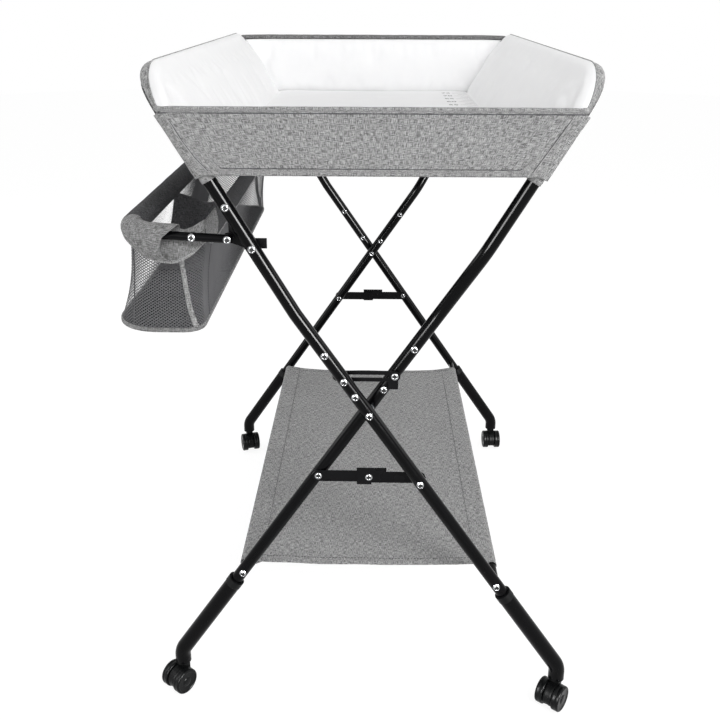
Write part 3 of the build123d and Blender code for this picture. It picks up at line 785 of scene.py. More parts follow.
def crease(name: str, path: Array, material: Material, radius: float, seed: float) -> Object:
    """A thin uneven dark line of painted shade along a fold.

    Args:
        name: Object name.
        path: Points of the fold.
        material: Finish.
        radius: Mean radius of the line.
        seed: Offset into the noise.

    Returns:
        The new object.
    """
    waver = [noise.noise(Vector((k * 0.35, seed, 0.0))) for k in range(len(path))]
    grid = swept(path, lambda i: ring(radius * (1 + 0.5 * waver[i])), ANY_SIDE)
    return surface(name, grid, material, wrap=True)


def smooth_step(x: Array, low: float = 0.0, high: float = 1.0) -> Array:
    """A soft ramp from 0 to 1 between two values."""
    t = np.clip((np.asarray(x, dtype=float) - low) / (high - low), 0, 1)
    return t * t * (3 - 2 * t)


def inflate(obj: Object, pressure: float, cap: float, frames: int, pinned: Optional[Array] = None) -> Object:
    """Swells a padded cover by cloth simulation, limits the movement and keeps the result.

    Args:
        obj: Mesh object of the cover.
        pressure: Air pressure, standing for the foam's push.
        cap: Farthest that a point may move.
        frames: Simulated frames.
        pinned: Hold weight of each point, or None for a free cover.

    Returns:
        The same object.
    """
    scene = bpy.context.scene
    before = points_of(obj.data)
    cloth = obj.modifiers.new("foam_fill", "CLOTH")
    settings = cloth.settings
    settings.quality = 5
    settings.mass = 0.2
    settings.tension_stiffness = settings.compression_stiffness = 18
    settings.bending_stiffness = 0.6
    settings.use_pressure = pressure != 0
    settings.uniform_pressure_force = pressure
    settings.shrink_min = -0.012
    settings.effector_weights.gravity = 0
    cloth.collision_settings.use_collision = False
    if pinned is not None:
        group = obj.vertex_groups.new(name="sewn")
        for k, weight in enumerate(pinned):
            if weight > 0:
                group.add([k], float(weight), "REPLACE")
        settings.vertex_group_mass = "sewn"
    cloth.point_cache.frame_start, cloth.point_cache.frame_end = 1, frames
    for f in range(1, frames + 1):
        scene.frame_set(f)
    swollen = obj.evaluated_get(bpy.context.evaluated_depsgraph_get())
    move = np.nan_to_num(points_of(swollen.to_mesh()) - before)
    swollen.to_mesh_clear()
    obj.modifiers.remove(cloth)
    size = np.linalg.norm(move, axis=1)[:, None]
    move *= np.minimum(1.0, cap / np.maximum(size, 1e-9))
    move_points(obj.data, before + move)
    scene.frame_set(1)
    return obj


# Shared sizes of the frame, repeated from the solid model in metres


@dataclass(frozen=True)
class FrameSizes:
    """Sizes that the cloth pieces take from the tube frame."""

    half_length: float = 0.420
    bend_x: float = 0.10313
    bend_z: float = 0.65868
    rail_x: float = 0.291
    rail_z: float = 0.979
    corner_r: float = 0.060
    floor_z: float = 0.874
    skirt_z: float = 0.856
    front_top_z: float = 0.942
    rear_top_z: float = 0.990
    rod_x: float = 0.19523
    rod_z: float = 0.22130

    def axis_x(self, z: Array) -> Array:
        """Distance of the upper tube's axis from the table's middle at height z."""
        slope = (self.rail_x - self.bend_x) / (self.rail_z - self.bend_z)
        return self.rail_x + slope * (np.asarray(z) - self.rail_z)


SIZES = FrameSizes()


@dataclass
class RailPlane:
    """The sloping plane of one top rail: u up the legs from the rail, v along the table, w into the tray."""

    side: Side
    up: Array = field(init=False)
    into: Array = field(init=False)
    rail: Array = field(init=False)

    def __post_init__(self) -> None:
        """Works out the plane's directions."""
        s = self.side.value
        rise = np.array([-s * (SIZES.rail_x - SIZES.bend_x), 0.0, SIZES.rail_z - SIZES.bend_z])
        self.up = rise / np.linalg.norm(rise)
        self.into = np.array([s * self.up[2], 0.0, abs(self.up[0])])
        self.rail = np.array([-s * SIZES.rail_x, 0.0, SIZES.rail_z])

    def place(self, u: Array, v: Array, w: Array) -> Array:
        """Points from plane coordinates.

        Args:
            u: Distance up the legs from the rail.
            v: Distance along the table.
            w: Distance into the tray.

        Returns:
            Points in the table's frame.
        """
        u, v, w = np.broadcast_arrays(*(np.asarray(part, float) for part in (u, v, w)))
        along = np.array([0.0, 1.0, 0.0])
        return self.rail + u[..., None] * self.up + v[..., None] * along + w[..., None] * self.into

    def u_at(self, z: Array, w: float) -> Array:
        """The u of height z on the plane set off by w."""
        return (np.asarray(z) - self.rail[2] - w * self.into[2]) / self.up[2]

    def inner_x(self, z: Array, w: float) -> Array:
        """Distance from the table's middle of the plane set off by w, at height z."""
        return np.abs(self.rail[0] + self.u_at(z, w) * self.up[0] + w * self.into[0])


@dataclass
class TrayWall:
    """A padded long wall of the tray: rail sleeve, outer linen, white lining and its piping."""

    side: Side
    finishes: Finishes
    leg_r: float = 0.0124
    rail_r: float = 0.0172
    lining_gap: float = 0.0026
    leg_wrap: float = 110.0
    rail_wrap: float = 54.0
    foam_w: float = 0.0215
    foam_step: float = 0.042
    back_w: float = -0.0112
    sleeve_end_z: float = 0.846
    lining_low_z: float = 0.866
    cover_low_z: float = 0.855
    sleeve_hem: float = 0.009
    seam_drop: float = 0.032
    seam_half: float = 0.395
    hem_rise: float = 0.011
    lining_thickness: float = 0.0016
    piping_r: float = 0.0009
    leg_points: int = 15
    arc_points: int = 14
    rail_points: int = 100

    def __post_init__(self) -> None:
        """Finds the wall's plane and the name that its pieces share."""
        self.plane = RailPlane(self.side)
        self.name = self.side.label

    def outline(self, inset: Array, low: float) -> tuple[Array, Array]:
        """The U line of the rail, moved inwards.

        Args:
            inset: Distance inwards for each point of the line.
            low: Lowest u of the two legs.

        Returns:
            u and v of each point.
        """
        big, corner = SIZES.half_length, SIZES.corner_r
        leg = np.linspace(low, -corner, self.leg_points)
        arc = np.linspace(0, pi / 2, self.arc_points)[1:-1]
        rail = np.linspace(-(big - corner), big - corner, self.rail_points)
        n_leg, n_arc, n_rail = len(leg), len(arc), len(rail)
        d = np.asarray(inset, float)
        first = d[:n_leg]
        bend = d[n_leg : n_leg + n_arc]
        top = d[n_leg + n_arc : n_leg + n_arc + n_rail]
        u = np.concatenate([leg, -corner + (corner - bend) * np.sin(arc), -top])
        v = np.concatenate([-(big - first), -(big - corner) - (corner - bend) * np.cos(arc), rail])
        u_far = u[: n_leg + n_arc][::-1]
        v_far = -v[: n_leg + n_arc][::-1]
        return np.concatenate([u, u_far]), np.concatenate([v, v_far])

    def count(self) -> int:
        """Number of points of the U line."""
        return 2 * (self.leg_points + self.arc_points - 2) + self.rail_points

    def edge(self, on_leg: float, on_rail: float) -> Array:
        """A value that changes smoothly from the legs to the rail.

        Args:
            on_leg: Value on the legs.
            on_rail: Value on the rail.

        Returns:
            The value at each point of the U line.
        """
        lead = np.full(self.leg_points, on_leg)
        bend = on_leg + (on_rail - on_leg) * smooth_step(np.linspace(0, 1, self.arc_points)[1:-1])
        half = np.concatenate([lead, bend])
        return np.concatenate([half, np.full(self.rail_points, on_rail), half[::-1]])

    def radius(self) -> Array:
        """Radius of the padded cover round the tube: slim on the legs, fuller on the rail."""
        return self.edge(self.leg_r, self.rail_r)

    def skin(
        self, name: str, low: float, wrap: Optional[Array],
        height: Callable[[Array, Array, Array], Array], material: Material, facing: float, rows: int = 16,
    ) -> Object:
        """A sheet that fills the U line, from its edge on the rail inwards.

        Args:
            name: Object name.
            low: Lowest u.
            wrap: How far the edge goes round the tube at each point, in degrees, or None to start on
                the tube's side.
            height: Gives w for arrays of inset, tube radius and u.
            material: Finish.
            facing: 1 for a sheet that faces into the tray, -1 for one that faces out.
            rows: Rows between the tube and the flat middle.

        Returns:
            The new object.
        """
        corner, radius = SIZES.corner_r, self.radius()
        strips, coords = [], []
        rolled = []
        if wrap is not None:
            rolled = [np.radians(wrap) * share for share in np.linspace(1, 0, 12)[:-1]]
        insets = [-radius * np.sin(turn) for turn in rolled]
        insets += [np.full(self.count(), corner * share) for share in np.linspace(0, 1, rows) ** 1.3]
        for k, inset in enumerate(insets):
            u, v = self.outline(inset, low)
            w = radius * np.cos(rolled[k]) if k < len(rolled) else height(inset, radius, u)
            strips.append(self.plane.place(u, v, w))
            coords.append(np.stack([v, u], axis=1))
        leg = np.linspace(low, -corner, self.leg_points)
        reach = SIZES.half_length - corner
        rail = np.linspace(-reach, reach, self.rail_points)
        mid_u, mid_v = np.meshgrid(leg, rail, indexing="ij")
        mid_d = np.minimum(-mid_u, SIZES.half_length - np.abs(mid_v))
        middle = self.plane.place(mid_u, mid_v, height(mid_d, 0 * mid_d, mid_u))
        faces = grid_faces(len(strips), self.count())
        faces += grid_faces(*mid_u.shape, start=len(strips) * self.count())
        obj = mesh_object(name, np.concatenate([*strips, middle.reshape(-1, 3)]), faces, material)
        set_weave(obj, np.concatenate([*coords, np.stack([mid_v, mid_u], 2).reshape(-1, 2)]))
        with mesh_edit(obj.data) as work:
            bmesh.ops.remove_doubles(work, verts=work.verts, dist=1e-5)
            bmesh.ops.dissolve_degenerate(work, edges=work.edges, dist=1e-6)
            bmesh.ops.recalc_face_normals(work, faces=work.faces)
            into = Vector(self.plane.into)
            if facing * sum(f.normal.dot(into) * f.calc_area() for f in work.faces) < 0:
                bmesh.ops.reverse_faces(work, faces=work.faces)
        return obj

    def sleeve_path(self) -> Array:
        """The rail's axis between the sleeve's two lower ends."""
        low = self.plane.u_at(self.sleeve_end_z, 0.0)
        u, v = self.outline(np.zeros(self.count()), low)
        return self.plane.place(u, v, 0.0)

    def build_sleeve(self) -> list[Object]:
        """Linen sleeve round the rail tube, with hemmed lower ends."""
        path = self.sleeve_path()
        inner = self.radius() - self.lining_gap
        grid = swept(path, lambda i: ring(inner[i], 32), self.plane.into)
        grid = wrinkle(grid, self.plane.into, 0.0004, 0.03, seed=3.0)
        sleeve = surface(f"{self.name}_rail_sleeve", grid, self.finishes.linen, wrap=True)
        thicken(sleeve, CLOTH, 1.0)
        hems, around = [], 28
        rim = inner[0] + 0.0011
        drawn = (-0.0007, 0.0, 0.0002, 0.0, -0.0007)
        for ends in (path[:8], path[::-1][:8]):
            leg = ends[-1] - ends[0]
            reach = self.sleeve_hem / np.linalg.norm(leg)
            run = np.array([ends[0] + leg * t for t in np.linspace(0.0, reach, len(drawn))])
            hem = swept(run, lambda i: ring(rim + drawn[i], around), self.plane.into)
            hems.append((hem, grid_faces(len(drawn), around, True)))
        hem_obj = joined(f"{self.name}_sleeve_hems", hems, self.finishes.binding)
        set_weave(hem_obj, np.concatenate([hem.reshape(-1, 3)[:, 1:] for hem, _ in hems]))
        return [sleeve, hem_obj]

    def build_cover(self) -> list[Object]:
        """Linen on the outside of the wall, with a sewn line under the rail."""
        low = self.plane.u_at(self.cover_low_z, self.back_w)

        def height(inset: Array, radius: Array, u: Array) -> Array:
            """Outer face: on the tube's side, then nearly flat."""
            return -radius + (self.back_w + radius) * smooth_step(inset, 0.0, 0.03)

        cover = self.skin(f"{self.name}_wall_cover", low, None, height, self.finishes.linen, facing=-1.0)
        seed = 7.0 * self.side.value
        moved = wrinkle(points_of(cover.data), self.plane.into, 0.0011, 0.09, (1, 2.2, 1), seed)
        move_points(cover.data, moved)
        thicken(cover, CLOTH, -1.0)
        v = np.linspace(-self.seam_half, self.seam_half, 300)
        seam_path = self.plane.place(-self.seam_drop, v, self.back_w - 0.0006)
        seam = stitches(f"{self.name}_rail_seam", seam_path, self.finishes.thread)
        hem_path = self.plane.place(low + self.hem_rise, v * 1.02, self.back_w - 0.0004)
        hem = stitches(f"{self.name}_cover_hem_seam", hem_path, self.finishes.thread)
        return [cover, seam, hem]

    def pulls(self, u: Array, v: Array) -> Array:
        """Slanting folds that draw the lining to its two ends.

        Args:
            u: Distances up the legs from the rail.
            v: Distances along the table.

        Returns:
            Height of the folds, about -1 to 1.
        """
        folds = 0.0
        for end in (-1.0, 1.0):
            strength = np.clip((end * v - 0.27) / 0.15, 0, 1) * smooth_step(-u, 0.015, 0.07)
            folds = folds + strength * np.sin((u + end * v * 0.55) * 95.0 + self.side.value)
        return folds

    def build_lining(self) -> list[Object]:
        """White padded lining, swelled by simulation, with piping along its sewn edge."""
        low = self.plane.u_at(self.lining_low_z, self.foam_w)
        into = self.plane.into

        def height(inset: Array, radius: Array, u: Array) -> Array:
            """Inner face: from the tube out to the foam, with a slight crown."""
            bulge = np.sin(np.pi * np.clip((u - low) / (-low), 0, 1))
            crown = 0.0012 * smooth_step(inset, 0.02, 0.07) * bulge
            return radius + (self.foam_w - radius) * smooth_step(inset, 0.0, self.foam_step) + crown

        wrap = self.edge(self.leg_wrap, self.rail_wrap)
        lining = self.skin(f"{self.name}_wall_lining", low, wrap, height, self.finishes.vinyl, facing=1.0)
        points = points_of(lining.data)
        u, v = (points - self.plane.rail) @ self.plane.up, points[:, 1]
        from_end = SIZES.half_length - np.abs(v)
        loose = smooth_step(np.minimum(-u, from_end), 0.004, 0.03)
        soft = wrinkle(points, into, 0.0008, 0.09, (1, 1.6, 1), 11.0 * self.side.value)
        folds = (0.0006 * self.pulls(u, v) * loose)[:, None] * into
        move_points(lining.data, points + (soft - points) * loose[:, None] + folds)
        away = np.minimum(np.minimum(-u + 0.002, from_end), (u - low) * 1.4)
        inflate(lining, 0.0, 0.0022, frames=14, pinned=1.0 - smooth_step(away, 0.004, 0.03))
        thicken(lining, self.lining_thickness, -1.0)
        turn, out = np.radians(wrap), self.radius() + 0.0001
        foot = self.plane.u_at(SIZES.skirt_z + 0.006, 0.0)
        edge_u, edge_v = self.outline(-out * np.sin(turn), foot)
        sewn = self.plane.place(edge_u, edge_v, out * np.cos(turn))
        piping = tube(f"{self.name}_wall_piping", sewn, self.piping_r, self.finishes.binding, into)
        return [lining, piping]

    def build(self) -> list[Object]:
        """Builds the wall and puts it on its frame.

        Returns:
            The wall's pieces.
        """
        pieces = self.build_sleeve() + self.build_cover() + self.build_lining()
        for piece in pieces:
            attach(piece, self.side.body)
        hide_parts(f"{self.name}_tray_wall")
        return pieces


def across_fold(piece: Object) -> Object:
    """Lets a tray piece bend from the left frame to the right one as the table folds."""
    z = SIZES.floor_z
    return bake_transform(piece, "outer_frame", "inner_frame", start=(-0.2, 0.0, z), end=(0.2, 0.0, z))


@dataclass
class EndPanel:
    """A short end of the tray: outer linen, white inside and hems."""

    end: End
    finishes: Finishes
    wrap_r: float = 0.0142
    corner_cover: float = 0.0195
    rear_fuller: float = 0.0046
    front_fuller: float = 0.0016
    seam_r: float = 0.0005
    hem_below: float = 0.004
    hem_deep: float = 0.0066
    lining_thickness: float = 0.0018
    rows: int = 30
    cols: int = 130

    def __post_init__(self) -> None:
        """Sets the panel's height and the name that its pieces share."""
        self.rear = self.end is End.REAR
        self.top = SIZES.rear_top_z if self.rear else SIZES.front_top_z
        self.name = self.end.label
        self.planes = (RailPlane(Side.LEFT), RailPlane(Side.RIGHT))

    def lean(self, x: Array, z: Array) -> Array:
        """How far the panel leans inwards where the rails round their corners.

        Args:
            x: Place across the table.
            z: Height.

        Returns:
            Distance inwards.
        """
        near_edge = smooth_step(np.abs(x) / SIZES.axis_x(z), 0.8, 1.0)
        rise = np.clip(SIZES.corner_r + self.planes[0].u_at(z, 0.0), 0.0, SIZES.corner_r)
        outer = SIZES.corner_r + self.corner_cover
        return (outer - np.sqrt(outer**2 - rise**2)) * near_edge

    def face(self, x: Array, z: Array, out: float) -> Array:
        """Points of the panel at places x and heights z, set out from the rails' middle line."""
        y = self.end.value * (SIZES.half_length + out - self.lean(x, z))
        return np.stack([x, y, z], axis=1)

    def wrap_at(self, z: float) -> float:
        """Radius of the cloth round the leg at height z: fuller where it goes over the padded corner."""
        fuller, full_z = (self.rear_fuller, 0.972) if self.rear else (self.front_fuller, 0.944)
        return self.wrap_r + fuller * float(smooth_step(np.array([z]), 0.916, full_z)[0])

    def rim_line(self, z: float, turn: float) -> tuple[Array, Array]:
        """The panel's line at one height, round both legs, with its outward directions.

        Args:
            z: Height.
            turn: How far the line goes round each leg, in degrees.

        Returns:
            Points on the cloth and unit vectors that point outwards.
        """
        e, half, r = self.end.value, float(SIZES.axis_x(z)), self.wrap_at(z)
        xs = np.linspace(-half, half, self.cols)
        flat = self.face(xs, np.full_like(xs, z), self.wrap_r)
        flat[:, 1] += e * (r - self.wrap_r) * smooth_step(np.abs(xs) / half, 0.86, 1.0)
        inward = np.array([0, e * float(self.lean(np.array([half]), np.array([z]))[0]), 0])
        sides, ways = [], []
        for plane in self.planes:
            axis = np.array([-plane.side.value * half, e * SIZES.half_length, z]) - inward
            angles = np.linspace(radians(turn), 0, 10)[:-1]
            ahead = np.array([0, e, 0])
            way = np.array([cos(a) * ahead - sin(a) * plane.into for a in angles])
            fuller = (r - self.wrap_r) / self.rear_fuller
            tuck = 1.0 - 0.15 * smooth_step(angles, 0.6, 1.6) * fuller
            sides.append(axis + r * tuck[:, None] * way)
            ways.append(way)
        points = np.concatenate([sides[0], flat, sides[1][::-1]])
        flat_ways = np.tile([0.0, e, 0.0], (self.cols, 1))
        outward = np.concatenate([ways[0], flat_ways, ways[1][::-1]])
        return points, outward

    def seam_inset(self, side: Side, z: Array) -> Array:
        """How far inside the leg's middle line the side seam runs at height z."""
        if side is Side.LEFT:
            return np.interp(z, [0.862, 0.878, 0.900, 0.941], [0.0104, 0.0048, 0.0022, 0.0028])
        return np.interp(z, [0.864, 0.906, 0.942], [0.0132, 0.0100, 0.0074])

    def side_seams(self, label: str, offset: float, finish: Material) -> Object:
        """One line of the felled seam up both sides of the panel.

        Args:
            label: End of the object's name.
            offset: Distance inwards from the seam's own line.
            finish: Finish of the line, which the seam takes once as dark thread and shade and once as the fold's
                painted highlight.

        Returns:
            The new object.
        """
        strands = []
        z = np.linspace(SIZES.skirt_z + 0.005, self.top - 0.006, 70)
        for side in Side:
            x = -side.value * (SIZES.axis_x(z) - self.seam_inset(side, z) - offset)
            strands.append(strand(self.face(x, z, self.wrap_r + 0.0005), self.seam_r, (1, 0, 0)))
        return joined(f"{self.name}_panel_{label}", strands, finish)

    def build_outside(self) -> list[Object]:
        """Linen that runs across the end and round the two sleeves, with a felled seam up each side."""
        e = self.end.value
        zs = np.linspace(SIZES.skirt_z - 0.001, self.top - self.hem_below, self.rows)
        grid = np.array([self.rim_line(float(z), 92.0)[0] for z in zs])
        grid = wrinkle(grid, (0, e, 0), 0.0007, 0.05, (1.6, 1, 1), seed=5.0 + e)
        panel = surface(f"{self.name}_panel_cover", grid, self.finishes.linen)
        thicken(panel, 0.001, 0.0)
        # The dark line draws the seam with the shade beside its raised fold; the pale line is a painted highlight on
        # the fold.
        seams = [
            self.side_seams("seams", 0.0, self.finishes.dark_thread),
            self.side_seams("seam_fold_highlights", -0.0013, self.finishes.pale_thread),
        ]
        return [panel, *seams]

    def build_top_hem(self) -> list[Object]:
        """The rolled top hem, and the crease of its stitching drawn as a thin dark line of painted shade."""
        e, f = self.end.value, self.finishes
        line, outward = self.rim_line(self.top - self.hem_below, 84.0)
        across = np.abs(line[:, 0])
        half = float(across.max())
        drop, tall = (0.009, 0.0046) if self.rear else (0.0, 0.0036)
        fall = drop * smooth_step(across, half - 0.030, half)
        # The hem thins out where it goes round the legs.
        slim = 1.0 - 0.6 * smooth_step(1.0 - np.abs(outward[:, 1]), 0.4, 0.95)
        section = soft_box(self.hem_deep, tall, 3.0)
        rows, fold = [], []
        for k, (point, way) in enumerate(zip(line, outward)):
            puff = 1.0 + 0.09 * noise.noise(Vector((k * 0.21, 3.7 * e, 0.0)))
            stretch = puff * (slim[k] if self.rear else 1.0)
            height = np.array([0, 0, self.top - tall + 0.0012 - fall[k] - point[2]])
            middle = point + way * (0.0002 - self.hem_deep * slim[k]) + height
            rows.append([middle + a * slim[k] * way + np.array([0, 0, b * stretch]) for a, b in section])
            fold.append(point + way * 0.0003 + height - np.array([0, 0, tall + 0.0004]))
        # The far hem gets painted shade: the same hem cloth, darker.
        binding = f.dark_binding if self.rear else f.binding
        hem = surface(f"{self.name}_top_hem", np.array(rows), binding, wrap=True)
        fold_line = np.array(fold)[7:-7]
        name = f"{self.name}_top_hem_crease"
        return [hem, crease(name, fold_line, f.dark_thread, 0.0009, 1.0 + e)]

    def build_low_hem(self) -> list[Object]:
        """The folded lower hem, its crease drawn as a thin dark line of painted shade, and its stitches."""
        e, f = self.end.value, self.finishes
        low = float(SIZES.axis_x(SIZES.skirt_z))
        rise = SIZES.skirt_z + 0.0042
        out = e * (SIZES.half_length + self.wrap_r + 0.0005)
        ends = [(-low + 0.008, out, rise + 0.016), (-low + 0.024, out, rise)]
        path = rounded_path(ends + [(-x, y, z) for x, y, z in ends[::-1]], [0.012, 0.012], 0.005)
        band = soft_box(0.0014, 0.0040, 4.0)
        name = f"{self.name}_low_hem"
        hem = surface(name, swept(path, lambda i: band, (0, e, 0)), f.binding, wrap=True)
        fold = path[3:-3] + np.array([0, e * 0.0002, 0.0043])
        # The crease is a dark strand of painted shade.
        fold_line = crease(f"{name}_crease", fold, f.dark_thread, 0.0007, 3.0 + e)
        sewn = path[6:-6] + np.array([0, e * 0.0013, 0.0016])
        return [hem, fold_line, stitches(f"{name}_seam", sewn, f.thread, 0.0045, 0.0004)]

    def build_inside(self) -> list[Object]:
        """White lining on the inside of the panel."""
        e = self.end.value
        zs = np.linspace(SIZES.floor_z - 0.007, self.top - (0.008 if self.rear else 0.003), 18)
        rows = []
        for z in zs:
            proud = 0.0118 + 0.0040 * float(smooth_step(z, 0.930, 0.985))
            half = float(self.planes[0].inner_x(z, proud))
            xs = np.linspace(-half, half, 90)
            share = (z - zs[0]) / (zs[-1] - zs[0])
            out = 0.0012 - 0.003 * sin(pi * share)
            rows.append(self.face(xs, np.full_like(xs, z), out))
        grid = wrinkle(np.array(rows), (0, e, 0), 0.0010, 0.09, (1.4, 1, 1), seed=2.0 + e)
        lining = surface(f"{self.name}_panel_lining", grid, self.finishes.vinyl)
        pins = np.ones(grid.shape[:2])
        pins[2:-2, 3:-3] = 0.0
        inflate(lining, 0.0, 0.0018, frames=12, pinned=pins.ravel())
        thicken(lining, self.lining_thickness, 0.0)
        return [lining]

    def build(self) -> list[Object]:
        """Builds the end panel and lets it bend across the fold.

        Returns:
            The panel's pieces.
        """
        pieces = self.build_outside() + self.build_top_hem() + self.build_low_hem()
        pieces += self.build_inside()
        for piece in pieces:
            across_fold(piece)
        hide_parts(f"{self.name}_end_panel")
        return pieces


@dataclass
class TrayFloor:
    """The padded floor of the tray, its linen underside and the measuring marks."""

    finishes: Finishes
    pad_thickness: float = 0.013
    half_y: float = 0.4175
    pad_drop: float = 0.0012
    cols: int = 40
    rows: int = 80
    base_half_y: float = 0.428
    tick_edge: float = 0.2005
    tick_pitch: float = 0.025
    tick_half: float = 0.0010
    tick_count: int = 32
    first_tick: float = -0.39
    long_tick: float = 0.030
    short_tick: float = 0.020
    number_size: float = 0.020
    number_gap: float = 0.034

    def build_pad(self) -> Object:
        """A foam pad in white vinyl, swelled by cloth simulation."""
        plane = RailPlane(Side.RIGHT)
        high = SIZES.floor_z - self.pad_drop
        low = SIZES.floor_z - self.pad_thickness - self.pad_drop
        middle = (low + high) / 2
        # Heights of the pad's rounded edge, and how far each is drawn in.
        edge = ((low, 0.004), (low + 0.0015, 0.001), (middle, 0.0), (high - 0.0015, 0.001), (high, 0.005))
        rings, caps = [], []
        for z, inset in edge:
            half_x = float(plane.inner_x(z, 0.0175)) - 0.6 * inset
            half_y = self.half_y - inset
            across = np.linspace(-half_x, half_x, self.cols)
            along = np.linspace(-half_y, half_y, self.rows)
            side = np.full(self.rows - 2, half_x)
            xs = np.concatenate([across, side, across[::-1], -side])
            front = np.full(self.cols, -half_y)
            ys = np.concatenate([front, along[1:-1], -front, along[::-1][1:-1]])
            rings.append(np.stack([xs, ys, np.full_like(xs, z)], axis=1))
            gx, gy = np.meshgrid(across, along)
            caps.append(np.stack([gx, gy, np.full_like(gx, z)], axis=2))
        sides = np.array(rings)
        parts = [(sides, grid_faces(len(edge), sides.shape[1], True))]
        parts += [(cap, grid_faces(self.rows, self.cols)) for cap in (caps[-1], caps[0])]
        pad = joined("tray_floor_cover", parts, self.finishes.vinyl)
        with mesh_edit(pad.data) as work:
            bmesh.ops.remove_doubles(work, verts=work.verts, dist=1e-4)
            bmesh.ops.recalc_face_normals(work, faces=work.faces)
        inflate(pad, 1.4, 0.0014, frames=16)
        smooth = pad.modifiers.new("soft", "SUBSURF")
        smooth.levels = smooth.render_levels = 1
        bake(pad)
        smooth_faces(pad.data)
        return pad

    def build_base(self) -> Object:
        """Linen sheet under the pad."""
        plane = RailPlane(Side.RIGHT)
        half, long = float(plane.inner_x(SIZES.skirt_z + 0.002, -0.004)), self.base_half_y
        gx, gy = np.meshgrid(np.linspace(-half, half, 60), np.linspace(-long, long, 110))
        sag = -0.002 * np.cos(gx / half * pi / 2) * np.cos(gy / long * pi / 2)
        grid = np.stack([gx, gy, SIZES.skirt_z + 0.0022 + sag], axis=2)
        base = surface("tray_base_cover", wrinkle(grid, (0, 0, 1), 0.0006, 0.08), self.finishes.linen)
        thicken(base, CLOTH, 0.0)
        return base

    def on_pad(self, pad: Object, points: Array) -> Array:
        """Lays points on the pad's top.

        Args:
            pad: The floor pad.
            points: Points whose height is replaced.

        Returns:
            The points, a hair above the pad.
        """
        mesh = pad.data
        tree = BVHTree.FromPolygons([v.co for v in mesh.vertices], [p.vertices for p in mesh.polygons])
        laid = np.array(points, dtype=float)
        for p in laid:
            spot = tree.ray_cast(Vector((p[0], p[1], 1.2)), Vector((0, 0, -1)))[0]
            p[2] = (spot.z if spot else SIZES.floor_z) + 0.0003
        return laid

    def number(self, pad: Object, value: int, y: float) -> tuple[Array, list]:
        """One number of the scale, laid on the pad.

        Args:
            pad: The floor pad.
            value: The number.
            y: Place along the table.

        Returns:
            Points and faces.
        """
        curve = bpy.data.curves.new("number", "FONT")
        curve.body = str(value)
        curve.size = self.number_size
        curve.align_x, curve.align_y = "RIGHT", "CENTER"
        text = linked("number", curve)
        graph = bpy.context.evaluated_depsgraph_get()
        graph.update()
        mesh = bpy.data.meshes.new_from_object(text.evaluated_get(graph))
        mesh.transform(Matrix.Translation((self.tick_edge - self.number_gap, y, 0.0)))
        points = self.on_pad(pad, points_of(mesh))
        faces = [tuple(p.vertices) for p in mesh.polygons]
        bpy.data.objects.remove(text)
        bpy.data.meshes.remove(mesh)
        return points, faces

    def build_marks(self, pad: Object) -> list[Object]:
        """A generic scale along the right edge of the floor: a mark every 2.5 cm, a number every 5 cm."""
        ticks, numbers = [], []
        for k in range(self.tick_count):
            y = self.first_tick + k * self.tick_pitch
            even = k % 2 == 0
            start = self.tick_edge - (self.long_tick if even else self.short_tick)
            xs = np.linspace(start, self.tick_edge, 7)
            flat = np.array([(x, y + s * self.tick_half, 0.0) for s in (-1, 1) for x in xs])
            ticks.append((self.on_pad(pad, flat), grid_faces(2, 7)))
            if even and k > 0:
                numbers.append(self.number(pad, 5 * k // 2, y))
        scale = joined("floor_scale_ticks", ticks, self.finishes.pale_ink)
        digits = joined("floor_scale_numbers", numbers, self.finishes.ink)
        return [scale, digits]

    def build(self) -> list[Object]:
        """Builds the floor and lets it bend across the fold.

        Returns:
            The floor's pieces.
        """
        pad = self.build_pad()
        pieces = [pad, self.build_base(), *self.build_marks(pad)]
        for piece in pieces:
            across_fold(piece)
        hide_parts("tray_floor_pad")
        return pieces


